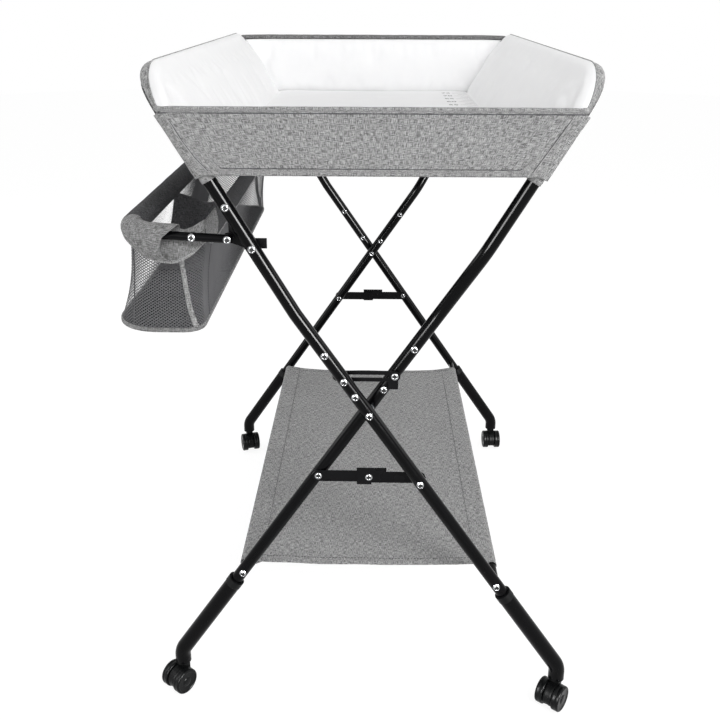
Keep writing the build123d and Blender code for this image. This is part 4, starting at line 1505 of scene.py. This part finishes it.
@dataclass
class Shelf:
    """The linen shelf with a sewn pocket round each rod."""

    finishes: Finishes
    half_y: float = 0.3765
    cloth_r: float = 0.0071
    seam_x: float = 0.168
    sag: float = 0.0080
    front_lift: float = 0.0015
    rear_lift: float = -0.0030
    seam_lift: float = 0.0008
    hem_thickness: float = 0.0012
    rows: int = 110

    def section(self) -> Array:
        """The cloth's line across the table, from the right pocket seam to the left one."""
        rod_x, rod_z, r = SIZES.rod_x, SIZES.rod_z, self.cloth_r

        def top(x: Array) -> Array:
            """Height of the hanging cloth."""
            return rod_z + r - self.sag * (1 - np.abs(np.asarray(x) / rod_x) ** 4)

        under = np.linspace(self.seam_x, rod_x - 0.004, 7)
        drop = np.interp(under, [self.seam_x, rod_x - 0.004], [0.0016, 1.95 * r])
        half = [(x, float(top(x)) - d) for x, d in zip(under, drop)]
        round_rod = np.linspace(-1.75, pi / 2, 16)
        half += [(rod_x + r * cos(a), rod_z + r * sin(a)) for a in round_rod]
        over = np.linspace(rod_x, -rod_x, 90)[1:-1]
        middle = [(x, float(top(x))) for x in over]
        return np.array(half + middle + [(-x, z) for x, z in half[::-1]])

    def build(self) -> list[Object]:
        """Builds the shelf and lets it bend across the fold.

        Returns:
            The shelf's pieces.
        """
        line = self.section()
        ys = np.linspace(-self.half_y, self.half_y, self.rows)
        grid = np.array([[(x, y, z) for x, z in line] for y in ys])
        x, y = grid[..., 0], grid[..., 1]
        middle = np.exp(-((x / 0.18) ** 8))
        pull = np.abs(y) / self.half_y
        grid[..., 2] += np.where(y < 0, self.front_lift, self.rear_lift) * middle * pull**4
        wavy = wrinkle(grid, (0, 0, 1), 0.0016, 0.11, (0.8, 2.0, 1), seed=17.0)
        loose = smooth_step(SIZES.rod_x - np.abs(x), 0.012, 0.05)[..., None]
        grid = grid + (wavy - grid) * loose
        shelf = surface("shelf_cloth", grid, self.finishes.linen)
        thicken(shelf, CLOTH, 0.0)
        pieces = [shelf]
        lift = np.array([0, 0, self.seam_lift])
        # The first columns are the pocket's underside; the seam shows on the cloth's top.
        under = (np.arange(len(line)) < 22) * 1.0
        seam = np.argmin(np.abs(line[:, 0] - self.seam_x) + under)
        for name, column in (("right", seam), ("left", len(line) - 1 - seam)):
            path = grid[:, column] + lift
            pieces.append(stitches(f"shelf_{name}_pocket_seam", path, self.finishes.dark_thread))
        for name, row, band in (("front", 2, slice(0, 5)), ("rear", -3, slice(-5, None))):
            path = grid[row, 24:-24] + lift
            pieces.append(stitches(f"shelf_{name}_hem_seam", path, self.finishes.dark_thread))
            fold = grid[band, 23:-23] - np.array([0, 0, self.hem_thickness])
            hem = surface(f"shelf_{name}_hem", fold, self.finishes.binding)
            pieces.append(thicken(hem, self.hem_thickness, 0.0))
        z = SIZES.rod_z
        for piece in pieces:
            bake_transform(piece, "outer_frame", "inner_frame", start=(0.185, 0.0, z), end=(-0.185, 0.0, z))
        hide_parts("shelf_panel")
        return pieces


@dataclass
class Basket:
    """The hanging basket: rim sleeve, linen bands, net walls, charcoal bottom and divider."""

    finishes: Finishes
    rim_x: float = -0.33007
    rim_z: float = 0.774
    arm_fall: float = 0.058
    arm_y: float = 0.420
    corner_r: float = 0.045
    sleeve_r: float = 0.0160
    sleeve_end_x: float = -0.262
    top_z: float = 0.7535
    low_z: float = 0.6165
    top_out: float = -0.3360
    top_in: float = -0.2281
    low_out: float = -0.3731
    low_in: float = -0.2421
    top_half: float = 0.4000
    low_half: float = 0.3800
    outer_r: Pair = (0.066, 0.032)
    inner_r: Pair = (0.026, 0.026)
    # Real net holes are about 3 mm; they are drawn 6.4 mm wide so that the yarns stay apart.
    net_pitch: float = 0.0064
    net_rise: float = 0.0023
    net_width: float = 0.0013
    long_side: float = 0.383
    dark_from_y: float = -0.30
    divider_y: float = -0.100
    tape_half: float = 0.0034
    corner_seam_r: float = 0.0011
    band_hem_r: float = 0.0017

    def bow(self, share: float) -> float:
        """How far the net walls are drawn in at a share of their height."""
        return 0.006 * sin(pi * share) * (1 - 0.3 * share)

    def limits(self, share: float) -> tuple[float, float, float, float]:
        """The bag's outer x, inner x, half length and height at a share of its height."""

        def mix(low: float, top: float) -> float:
            """The value at this height between two others."""
            return low + (top - low) * share

        bow = self.bow(share)
        return (
            mix(self.low_out, self.top_out) + bow, mix(self.low_in, self.top_in) - bow,
            mix(self.low_half, self.top_half) - bow, mix(self.low_z, self.top_z),
        )

    def even_loop(self, share: float, count: int) -> Array:
        """Points evenly spaced round the bag at a share of its height.

        Args:
            share: 0 at the bottom, 1 at the top.
            count: Number of points.

        Returns:
            The points, first and last the same place.
        """
        x0, x1, half, z = self.limits(share)
        ri, ro = (r[0] + (r[1] - r[0]) * share for r in (self.inner_r, self.outer_r))
        raw = []
        corners = (
            (x1 - ri, ri - half, ri, -90), (x1 - ri, half - ri, ri, 0), (x0 + ro, half - ro, ro, 90),
            (x0 + ro, ro - half, ro, 180),
        )
        for cx, cy, r, start in corners:
            for a in np.radians(np.linspace(start, start + 90, 12)):
                raw.append((cx + r * cos(a), cy + r * sin(a), z))
        path = np.array(raw + raw[:1])
        run = run_along(path)
        return points_at(path, run, np.linspace(0, run[-1], count))

    def build_net(self) -> Object:
        """Diamond net of crossing yarns on the bag's four walls."""
        around = length_of(self.even_loop(0.5, 200))
        tall = hypot(self.top_z - self.low_z, self.top_out - self.low_out)
        count = int(around / self.net_pitch)
        levels = int(tall / self.net_rise)
        walls = np.array([self.even_loop(k / levels, count * 2 + 1) for k in range(levels + 1)])
        centre = np.array([(self.low_in + self.low_out) / 2, 0.0, 0.0])
        level = np.arange(levels + 1)
        faces = grid_faces(levels + 1, 2)
        parts = []
        # Two families of yarns lean opposite ways and cross, one just outside the other.
        for family in (-1, 1):
            for j in range(count):
                run = walls[level, (2 * j + family * level) % (2 * count)]
                out = (run - centre) * np.array([1, 0.16, 0])
                out /= np.maximum(np.linalg.norm(out, axis=1), 1e-9)[:, None]
                across = np.cross(np.gradient(run, axis=0), out)
                across /= np.maximum(np.linalg.norm(across, axis=1), 1e-9)[:, None]
                line = run + out * 0.00025 * family
                half = across * self.net_width / 2
                parts.append((np.stack([line - half, line + half], axis=1), faces))
        net = joined("basket_net", parts, self.finishes.net)
        return net

    def rim_path(self) -> tuple[Array, Array]:
        """The rim's axis between the sleeve's ends, and how far each point is from the nearer end."""
        end_z = self.rim_z - (self.sleeve_end_x - self.rim_x) * self.arm_fall
        front = [(self.sleeve_end_x, -self.arm_y, end_z), (self.rim_x, -self.arm_y, self.rim_z)]
        rear = [(x, -y, z) for x, y, z in front[::-1]]
        path = rounded_path(front + rear, [self.corner_r, self.corner_r], 0.004)
        run = run_along(path)
        return path, np.minimum(run, run[-1] - run)

    def hang(self, from_end: Array) -> Array:
        """How far the sleeve hangs below the rim's axis: a deep fold at the arms, snug on the long side."""
        places = [0, 0.012, 0.03, 0.05, 0.065, 0.085, 0.105]
        depths = [0.0365, 0.0378, 0.036, 0.031, 0.0265, 0.0195, self.sleeve_r]
        return np.interp(from_end, places, depths)

    def darken(self, piece: Object, is_dark: Callable[[Vector], bool]) -> None:
        """Paints shade on part of a piece by giving it the nearly black rim cloth.

        Args:
            piece: Cloth piece.
            is_dark: Says whether a face with this middle gets the painted shade.
        """
        piece.data.materials.append(self.finishes.dark_sleeve)
        for face in piece.data.polygons:
            face.material_index = int(is_dark(face.center))

    def build_sleeve(self) -> Object:
        """Linen sleeve: snug on the rim, a hemmed fold at the arms, an arch where they come out."""
        path, from_end = self.rim_path()
        sides, ups = frames_along(path, (0.0, -1.0, 0.0))
        turn = np.linspace(-90, 270, 44, endpoint=False)
        out, up = np.cos(np.radians(turn)), np.sin(np.radians(turn))
        deep = self.hang(from_end)[:, None]
        at_corner = np.exp(-(((from_end - 0.06) / 0.024) ** 2))
        gather = 1 + (0.05 * np.sin(from_end * 300) * at_corner)[:, None]
        narrow = np.where(up < 0, 0.75 * (1 - self.sleeve_r / deep) * up**2, 0)
        wide = self.sleeve_r * out * gather * (1 - narrow)
        high = np.where(up < 0, up * deep, up * self.sleeve_r * gather)
        grid = path[:, None] + sides[:, None] * wide[..., None] + ups[:, None] * high[..., None]
        arch = np.interp(
            turn, [-90, -72, -50, -25, 0, 20, 50, 90, 270], [0, 0.009, 0.017, 0.019, 0.016, 0.010, 0.002, -0.004, 0],
        )
        grid[..., 0] -= arch * np.clip(1 - from_end / 0.045, 0, 1)[:, None]
        grid = wrinkle(grid, (0.4, 0.3, 0.7), 0.0014, 0.024, (1, 2.0, 1), seed=21.0)
        sleeve = surface("basket_rim_cover", grid, self.finishes.sleeve, wrap=True)
        thicken(sleeve, CLOTH, -1.0)
        # The long side of the rim gets painted shade, where the tray above shades it.
        self.darken(sleeve, lambda middle: abs(middle.y) < self.long_side)
        return sleeve

    def curtain(self, name: str, top: Array, low: Array, belly: Point) -> tuple[Object, Array]:
        """Cloth that hangs between two lines.

        Args:
            name: Object name.
            top: Points of the upper edge.
            low: Points of the lower edge.
            belly: Direction and depth of its swelling.

        Returns:
            The cloth and its grid of points.
        """
        t = np.linspace(0, 1, 14)[:, None, None]
        grid = top + (low - top) * t + np.sin(pi * t) * np.array(belly)
        grid = wrinkle(grid, (0.5, 0.5, 0), 0.0016, 0.03, (1, 1, 2), seed=31.0)
        piece = surface(name, grid, self.finishes.sleeve)
        thicken(piece, 0.001, 0.0)
        return piece, grid

    def build_bands(self) -> list[Object]:
        """Linen bands behind the two arms and along the inner side, with their bound hems."""
        pieces = []
        section = soft_box(0.0016, 0.0026, 3.0, 14)
        path, from_end = self.rim_path()
        for end in End:
            e = end.value
            xs = np.linspace(-0.300, -0.2265, 40)
            top = np.interp(xs, [-0.300, -0.267, -0.252, -0.240, -0.2265], [0.779, 0.779, 0.7755, 0.779, 0.787])
            low = np.interp(xs, [-0.300, -0.273, -0.255, -0.244, -0.2265], [0.7355, 0.7335, 0.7365, 0.742, 0.758])
            back = 0.4075 - 0.010 * smooth_step(xs, -0.250, -0.2265)
            forth = back + 0.011 * smooth_step(-xs, 0.236, 0.262)
            top_line, low_line = np.stack([xs, e * back, top], 1), np.stack([xs, e * forth, low], 1)
            name = f"basket_{end.label}_band"
            band, grid = self.curtain(name, top_line, low_line, (0, 0.002 * e, 0))
            # The hem follows the sleeve's fold and then the band's lower edge.
            near = (from_end < 0.09) & (np.sign(path[:, 1]) == e)
            folded = path[near].copy()
            folded[:, 2] -= self.hang(from_end[near])
            folded = folded[np.argsort(-from_end[near])]
            hem = np.concatenate([folded, grid[-1][xs > self.sleeve_end_x + 0.002]])
            edge = swept(hem, lambda i: section, (0, e, 0))
            pieces += [band, surface(f"{name}_hem", edge, self.finishes.binding, wrap=True)]
        return pieces + self.build_inner_band()

    def build_inner_band(self) -> list[Object]:
        """Linen band along the inner side, with painted shade over most of it, and its bound hem."""
        ys = np.linspace(-0.400, 0.400, 120)
        slack = np.cos(ys / 0.4 * pi / 2)
        top_line = np.stack([-0.2275 - 0.004 * slack, ys, 0.784 - 0.010 * slack], 1)
        raised = 0.018 * smooth_step(np.abs(ys), 0.33, 0.40)
        low_line = np.stack([-0.2280 - 0.003 * slack, ys, 0.739 - 0.007 * slack + raised], 1)
        name = "basket_inner_band"
        band, grid = self.curtain(name, top_line, low_line, (0.003, 0, 0))
        # Most of the band gets the nearly black cloth as painted shade, where it lies in the tray's shade.
        self.darken(band, lambda middle: middle.y > self.dark_from_y)
        binding = self.finishes.binding
        return [band, tube(f"{name}_hem", grid[-1], self.band_hem_r, binding, (0.3, 0.5, 0.8))]

    def build_bottom(self) -> list[Object]:
        """Charcoal bottom panel with a linen binding round it."""
        loop = self.even_loop(0.0, 161)[:-1]
        centre = np.array([(self.low_in + self.low_out) / 2, 0.0, self.low_z])
        rows = []
        for share in np.linspace(1.0, 0.06, 16):
            row = centre + (loop - centre) * share
            row[:, 2] = self.low_z + 0.001 - 0.004 * (1 - share**2)
            rows.append(row)
        bottom = surface("basket_bottom_cloth", np.array(rows), self.finishes.charcoal, wrap=True)
        with mesh_edit(bottom.data) as work:
            middle = Vector(centre)
            edges = [e for e in work.edges if e.is_boundary and all((v.co - middle).length < 0.12 for v in e.verts)]
            bmesh.ops.contextual_create(work, geom=edges)
        thicken(bottom, 0.0024, -1.0)
        closed = np.concatenate([loop, loop[:2]]) + np.array([0, 0, 0.0012])
        section = soft_box(0.0018, 0.0034, 3.0, 16)
        edge = swept(closed, lambda i: section, (1, 0, 0))
        binding = surface("basket_bottom_binding", edge, self.finishes.sleeve, wrap=True)
        return [bottom, binding]

    def build_divider(self) -> Object:
        """Charcoal cloth divider with a slack top edge."""
        rows = []
        for t in np.linspace(0, 1, 26):
            share = 0.03 + t * 0.99
            x0, x1, _, _ = self.limits(min(share, 1.0))
            xs = np.linspace(x0 + 0.001, x1 - 0.001, 40)
            s = np.linspace(0, 1, 40)
            level = self.low_z + (self.top_z - self.low_z) * share
            z = level - t * 0.013 * np.sin(pi * s) ** 1.3 + t * 0.002 * np.sin(s * 9)
            y = self.divider_y + 0.006 * t * np.sin(s * 6.0 + 0.5) + 0.003 * np.sin(s * 11 + t * 3)
            rows.append(np.stack([xs, y, z], axis=1))
        # The divider's cloth is painted lighter to stand in for light it lacks deep in the basket.
        divider = surface("basket_divider_cloth", np.array(rows), self.finishes.divider)
        thicken(divider, 0.0012, 0.0)
        return divider

    def build_tapes(self) -> list[Object]:
        """Linen tape up each end wall and dark seams up the corners."""
        pieces = []
        # The tape's line up the end wall: shares of the height, and x at each.
        heights = [0, 0.09, 0.26, 0.5, 0.77, 1.0]
        places = [-0.250, -0.253, -0.258, -0.2605, -0.262, -0.2625]
        for end in End:
            rows = []
            for share in np.linspace(0.03, 0.93, 30):
                _, x1, half, z = self.limits(share)
                r = self.inner_r[0] + (self.inner_r[1] - self.inner_r[0]) * share
                x = float(np.interp(share, heights, places))
                strip = []
                for d in np.linspace(-self.tape_half, self.tape_half, 5):
                    past = max(0.0, min(x + d - (x1 - r), 0.98 * r))
                    y = half - r + sqrt(r * r - past * past) + 0.001
                    strip.append((x + d, end.value * y, z))
                rows.append(strip)
            tape = surface(f"basket_{end.label}_tape", np.array(rows), self.finishes.binding)
            thicken(tape, CLOTH, 0.0)
            pieces.append(tape)
        strands = []
        loops = [self.even_loop(share, 401) for share in np.linspace(0.0, 0.97, 24)]
        for share_round in (0.045, 0.455, 0.545, 0.955):
            line = np.array([loop[int(share_round * 400)] for loop in loops])
            strands.append(strand(line, self.corner_seam_r, (1, 0, 0)))
        return pieces + [joined("basket_corner_seams", strands, self.finishes.dark_thread)]

    def build(self) -> list[Object]:
        """Builds the basket and hangs it on its rim.

        Returns:
            The basket's pieces.
        """
        sleeve = self.build_sleeve()
        net = self.build_net()
        bottom = self.build_bottom()
        divider = self.build_divider()
        pieces = [sleeve, net, *bottom, divider, *self.build_bands(), *self.build_tapes()]
        for piece in pieces:
            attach(piece, "basket")
        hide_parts("basket_rim_sleeve")
        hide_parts("basket_bag")
        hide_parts("basket_divider")
        return pieces


@dataclass
class Caster:
    """A twin-wheel caster: two moulded wheels on an axle and a hooded fork."""

    name: str
    x: float
    y: float
    turn: float
    finishes: Finishes
    wheel_r: float = 0.0205
    wheel_w: float = 0.0125
    gap: float = 0.0155
    trail: float = 0.011
    axle_r: float = 0.0029
    axle_half: float = 0.012
    count: int = 48

    def wheel_profile(self) -> list[Pair]:
        """Radius and distance along the axle, from the hub's inside to its outside."""
        r, w = self.wheel_r, self.wheel_w
        near, far = 0.0016, 0.0024
        near_turn, far_turn = np.linspace(0.3, pi / 2, 5), np.linspace(0.1, pi / 2, 7)
        return [
            # the inner face, with its ring groove
            (0.0035, 0.0), (0.0145, 0.0), (0.0155, 0.0009), (0.0175, 0.0009), (0.0184, 0.0), (r - near, 0.0),
            *((r - near + near * sin(a), near - near * cos(a)) for a in near_turn),
            # the tread, with its middle line
            (r, w * 0.44), (r - 0.0003, w * 0.48), (r - 0.0003, w * 0.52), (r, w * 0.56),
            *((r - far + far * cos(a), w - far + far * sin(a)) for a in far_turn),
            # the outer face, with its step and hub cap
            (0.0168, w), (0.0164, w - 0.0004), (0.0160, w - 0.0007), (0.0152, w - 0.0008),
            (0.0085, w - 0.0007), (0.0078, w - 0.0008), (0.0074, w - 0.0004), (0.0066, w + 0.0001),
            (0.0035, w + 0.0004), (0.0004, w + 0.0005),
        ]

    def place(self, points: Array) -> Array:
        """Turns and moves local caster points to the table's frame."""
        a = radians(self.turn)
        x = points[:, 0] * cos(a) - points[:, 1] * sin(a) + self.x
        y = points[:, 0] * sin(a) + points[:, 1] * cos(a) + self.y
        return np.stack([x, y, points[:, 2]], axis=1)

    def build_wheels(self) -> Object:
        """Both wheels and their axle."""
        parts = []
        profile = self.wheel_profile()
        faces = grid_faces(len(profile), self.count, True)
        for hand in (-1, 1):
            rows = [
                (self.trail + x, hand * (self.gap / 2 + along), self.wheel_r + z)
                for radius, along in profile
                for x, z in ring(radius, self.count)
            ]
            parts.append((self.place(np.array(rows)), faces if hand > 0 else [f[::-1] for f in faces]))
        reach = np.linspace(-self.axle_half, self.axle_half, 3)
        line = np.array([(self.trail, t, self.wheel_r) for t in reach])
        axle, axle_faces = strand(line, self.axle_r, (0, 0, 1), 16)
        parts.append((self.place(axle.reshape(-1, 3)), axle_faces))
        wheels = joined(f"{self.name}_wheel_pair", parts, self.finishes.nylon)
        wheels.data.set_sharp_from_angle(angle=radians(40))
        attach(wheels, f"{self.name}_wheels")
        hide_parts(f"{self.name}_caster_wheels")
        return wheels

    def build_hood(self) -> Object:
        """A curved guard over the fork's web, between the wheels."""
        # Half of the guard's section: distance from the axle, and from the middle.
        half = [(0.0160, -0.0072), (0.0174, -0.0071), (0.0180, -0.0056), (0.0182, -0.0030)]
        section = half + [(0.0176, 0.0)] + [(r, -d) for r, d in half[::-1]]
        angles = np.linspace(radians(118), radians(-38), 28)
        rows = [(self.trail + r * cos(a), d, self.wheel_r + r * sin(a)) for a in angles for r, d in section]
        points, faces = self.place(np.array(rows)), grid_faces(len(angles), len(section))
        hood = mesh_object(f"{self.name}_fork_guard", points, faces, self.finishes.plastic)
        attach(hood, f"{self.name}_caster")
        return hood

    def build(self) -> list[Object]:
        """Builds the caster."""
        return [self.build_wheels(), self.build_hood()]


@dataclass
class Fasteners:
    """Socket rims and recesses on the domed and flat heads of the bolts and rivets, the recesses dark with painted
    shade.
    """

    finishes: Finishes
    head_r: float = 0.00525
    dome: float = 0.0022
    count: int = 20

    def heads(self, node: str) -> list[tuple[Array, float, bool]]:
        """Finds the heads of a solid node.

        Args:
            node: Node name.

        Returns:
            The top point of each head, 1 or -1 for one that faces along or against y, and whether it
            is domed.
        """
        found = []
        with mesh_edit(frame["nodes"][node].data, keep=False) as work:
            bmesh.ops.remove_doubles(work, verts=work.verts, dist=1e-5)
            left = set(work.verts)
            while left:
                stack, group = [left.pop()], []
                while stack:
                    vertex = stack.pop()
                    group.append(np.array(vertex.co))
                    for near in (e.other_vert(vertex) for e in vertex.link_edges):
                        if near in left:
                            left.remove(near)
                            stack.append(near)
                points = np.array(group)
                for way in (-1.0, 1.0):
                    rise = points[:, 1] * way
                    tops = points[rise > rise.max() - 1e-4]
                    spread = float(np.ptp(tops, axis=0).max())
                    if spread < 2.2 * self.head_r:
                        middle = 0.5 * (tops.min(axis=0) + tops.max(axis=0))
                        found.append((middle, way, spread < 4e-4))
        # A fixed order, so that each run joins the heads alike.
        return sorted(found, key=lambda head: (*head[0], head[1]))

    def lathe(self, head: tuple[Array, float, bool], profile: Sequence[Pair]) -> tuple[Array, list]:
        """Turns a profile round a head's axis.

        Args:
            head: Top point, direction along y, and whether the head is domed.
            profile: Radius, and height above the head's face at that radius.

        Returns:
            Points and faces.
        """
        top, way, domed = head
        ball = (self.head_r**2 + self.dome**2) / (2 * self.dome)
        rows = []
        for r, proud in profile:
            out = way * (proud - (ball - sqrt(ball**2 - r**2)) * domed)
            rows.append([(top[0] + x, top[1] + out, top[2] + z) for x, z in ring(r, self.count)])
        faces = grid_faces(len(rows), self.count, True)
        return np.array(rows), faces if way > 0 else [f[::-1] for f in faces]

    def build(self) -> list[Object]:
        """Builds the rims and recesses, one pair of pieces for each body.

        Returns:
            The pieces.
        """
        rim = [(0.0029, 0.00002), (0.0030, 0.00030), (0.0034, 0.00042), (0.0039, 0.00030), (0.0043, -0.0001)]
        recess = [(0.00002, 0.00005), (0.0012, 0.00005), (0.0022, 0.00007), (0.0030, 0.00006)]
        # The recesses take a dark finish as painted shade.
        kinds = (("rims", rim, self.finishes.bolt), ("recesses", recess, self.finishes.socket))
        heads: dict[str, list] = {}
        for node, obj in frame["nodes"].items():
            if "bolt" in node or "rivet" in node:
                heads.setdefault(body_of(obj)[0], []).extend(self.heads(node))
        pieces = []
        for body, tops in heads.items():
            for label, profile, finish in kinds:
                if tops:
                    turned = [self.lathe(top, profile) for top in tops]
                    piece = joined(f"{body}_bolt_{label}", turned, finish)
                    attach(piece, body)
                    pieces.append(piece)
        return pieces


@dataclass
class HardParts:
    """The solid model's own nodes that stay in view, with their finishes."""

    finishes: Finishes

    def finish_for(self, node: str) -> Material:
        """Picks the finish of a solid node.

        Args:
            node: Node name.

        Returns:
            Its material.
        """
        f = self.finishes
        kinds = (
            (("bolt", "rivet"), f.bolt), (("joint_sleeves", "spacer"), f.zinc),
            (("brace", "stay", "bracket"), f.plate), (("collar", "socket", "fork", "bush"), f.plastic),
        )
        for words, finish in kinds:
            if any(word in node for word in words):
                return finish
        return f.tube

    def dress(self) -> int:
        """Gives every solid node its material.

        Returns:
            Number of nodes dressed.
        """
        for name, obj in frame["nodes"].items():
            obj.data.materials.clear()
            obj.data.materials.append(self.finish_for(name))
        return len(frame["nodes"])


@dataclass
class Studio:
    """Pale floor, soft lamps and the camera at the photograph's angle."""

    focal_mm: float = 44.0
    place: tuple[float, float, float] = (0.0038, -1.5581, 1.0854)
    pitch: float = 0.3192
    yaw: float = -0.0155
    roll: float = 0.003
    shift_y: float = -0.1111
    fill: float = 0.45
    floor_r: float = 9
    floor_glow: float = 1.13

    def build_camera(self) -> None:
        """Places the camera."""
        data = bpy.data.cameras.new("camera")
        data.sensor_width = 36.0
        data.lens = self.focal_mm
        data.shift_y = self.shift_y
        cam = linked("camera", data)
        level, down = cos(self.pitch), sin(self.pitch)
        ahead = Vector((sin(self.yaw) * level, cos(self.yaw) * level, -down))
        right = Vector((cos(self.yaw), -sin(self.yaw), 0.0))
        up = right.cross(ahead)
        side = right * cos(self.roll) + up * sin(self.roll)
        top = up * cos(self.roll) - right * sin(self.roll)
        turn = Matrix((side, top, -ahead)).transposed()
        cam.matrix_world = Matrix.Translation(self.place) @ turn.to_4x4()
        bpy.context.scene.camera = cam

    def background_rays(self, tree: NodeTree) -> bpy.types.NodeSocket:
        """A socket that is 1 for camera, glossy and transmission rays and 0 for the rest."""
        path = add_node(tree, "ShaderNodeLightPath").outputs
        seen = path["Is Camera Ray"]
        for kind in ("Is Glossy Ray", "Is Transmission Ray"):
            either = add_node(tree, "ShaderNodeMath", {0: seen, 1: path[kind]}, operation="MAXIMUM")
            seen = either.outputs[0]
        return seen

    def build_floor(self) -> Object:
        """A pale floor disc that keeps the table's soft shadow."""
        count, low = 64, -0.0004
        points = [(0.0, 0.0, low)] + [(x, y, low) for x, y in ring(self.floor_r, count)]
        faces = [(0, k + 1, (k + 1) % count + 1) for k in range(count)]
        constants = {"Base Color": linear("#f4f4f4"), "Roughness": 0.9, "Specular IOR Level": 0.1}
        material, tree, shader = new_material("pale_studio_floor", constants)
        seen = self.background_rays(tree)
        light = {"Color": (1, 1, 1, 1), "Strength": self.floor_glow}
        glow = add_node(tree, "ShaderNodeEmission", light).outputs[0]
        share = add_node(tree, "ShaderNodeMath", {0: seen, 1: 0.8}, operation="MULTIPLY").outputs[0]
        mix = add_node(tree, "ShaderNodeMixShader", {0: share, 1: shader.outputs[0], 2: glow})
        tree.links.new(mix.outputs[0], tree.nodes["Material Output"].inputs[0])
        floor = mesh_object("studio_floor", np.array(points), faces, material)
        return floor

    def build_world(self) -> None:
        """White surroundings for the camera, a plain soft fill for the object."""
        world = bpy.data.worlds.new("studio")
        bpy.context.scene.world = world
        world.use_nodes = True
        tree = world.node_tree
        back = tree.nodes["Background"]
        seen = self.background_rays(tree)
        level = add_node(tree, "ShaderNodeMapRange", {0: seen, 1: 0.0, 2: 1.0, 3: self.fill, 4: 1.0})
        back.inputs["Color"].default_value = (1, 1, 1, 1)
        tree.links.new(level.outputs[0], back.inputs["Strength"])

    def add_lamp(
        self, name: str, place: Point, aim: Point, size: Pair, power: float, shine_only: bool = False,
    ) -> None:
        """Adds one soft box.

        Args:
            name: Lamp name.
            place: Where it stands.
            aim: What it points at.
            size: Width and height.
            power: Watts.
            shine_only: True for a strip that is seen in reflections and adds no diffuse light.
        """
        data = bpy.data.lights.new(name, "AREA")
        data.shape = "RECTANGLE"
        data.size, data.size_y = size
        data.energy = power
        lamp = linked(name, data)
        lamp.location = place
        lamp.visible_camera = False
        lamp.visible_diffuse = not shine_only
        lamp.rotation_euler = (Vector(aim) - Vector(place)).to_track_quat("-Z", "Y").to_euler()

    def build(self) -> None:
        """Builds the studio."""
        bpy.context.scene.view_settings.view_transform = "Standard"
        self.build_camera()
        self.build_floor()
        self.build_world()
        middle, upper, box = (0.0, 0.0, 0.65), (0.0, 0.0, 0.9), (0.9, 1.1)
        side = (0.0, 0.0, 0.6)
        self.add_lamp("key_softbox", (1.2, -2.57, 2.53), middle, (1.3, 1.3), 49)
        self.add_lamp("right_side_box", (2.5, 0.1, 1.35), side, (1.2, 1.2), 16)
        self.add_lamp("left_side_box", (-2.5, 0.1, 1.35), side, (1.2, 1.2), 21)
        self.add_lamp("top_softbox", (0.0, 0.1, 2.9), upper, (1.4, 1.4), 6)
        self.add_lamp("right_shine_box", (1.5, -2.2, 1.3), (-0.15, -0.42, 0.75), box, 280, True)
        self.add_lamp("left_shine_box", (-1.35, -2.4, 1.3), (0.15, -0.4, 0.75), box, 170, True)


def main() -> None:
    """Builds the table in order and reports each piece."""
    logging.basicConfig(level=logging.INFO, format="%(name)s: %(message)s")
    Studio().build()
    finishes = Finishes()
    LOG.info("%d solid nodes dressed", HardParts(finishes).dress())
    places = {
        "outer_front": (0.30001, -0.420, 232.0),
        "outer_rear": (0.30001, 0.420, 272.0),
        "inner_front": (-0.30001, -0.394, 232.0),
        "inner_rear": (-0.30001, 0.394, 288.0),
    }
    parts = [(f"{side.label} wall", TrayWall(side, finishes)) for side in Side]
    parts += [(f"{end.label} end panel", EndPanel(end, finishes)) for end in End]
    parts += [("tray floor", TrayFloor(finishes)), ("shelf", Shelf(finishes))]
    parts += [("basket", Basket(finishes)), ("bolts", Fasteners(finishes))]
    parts += [(f"{name} caster", Caster(name, *place, finishes)) for name, place in places.items()]
    for label, part in parts:
        for piece in part.build():
            LOG.info("%s: %s", label, piece.name)


if __name__ == "__main__":
    main()
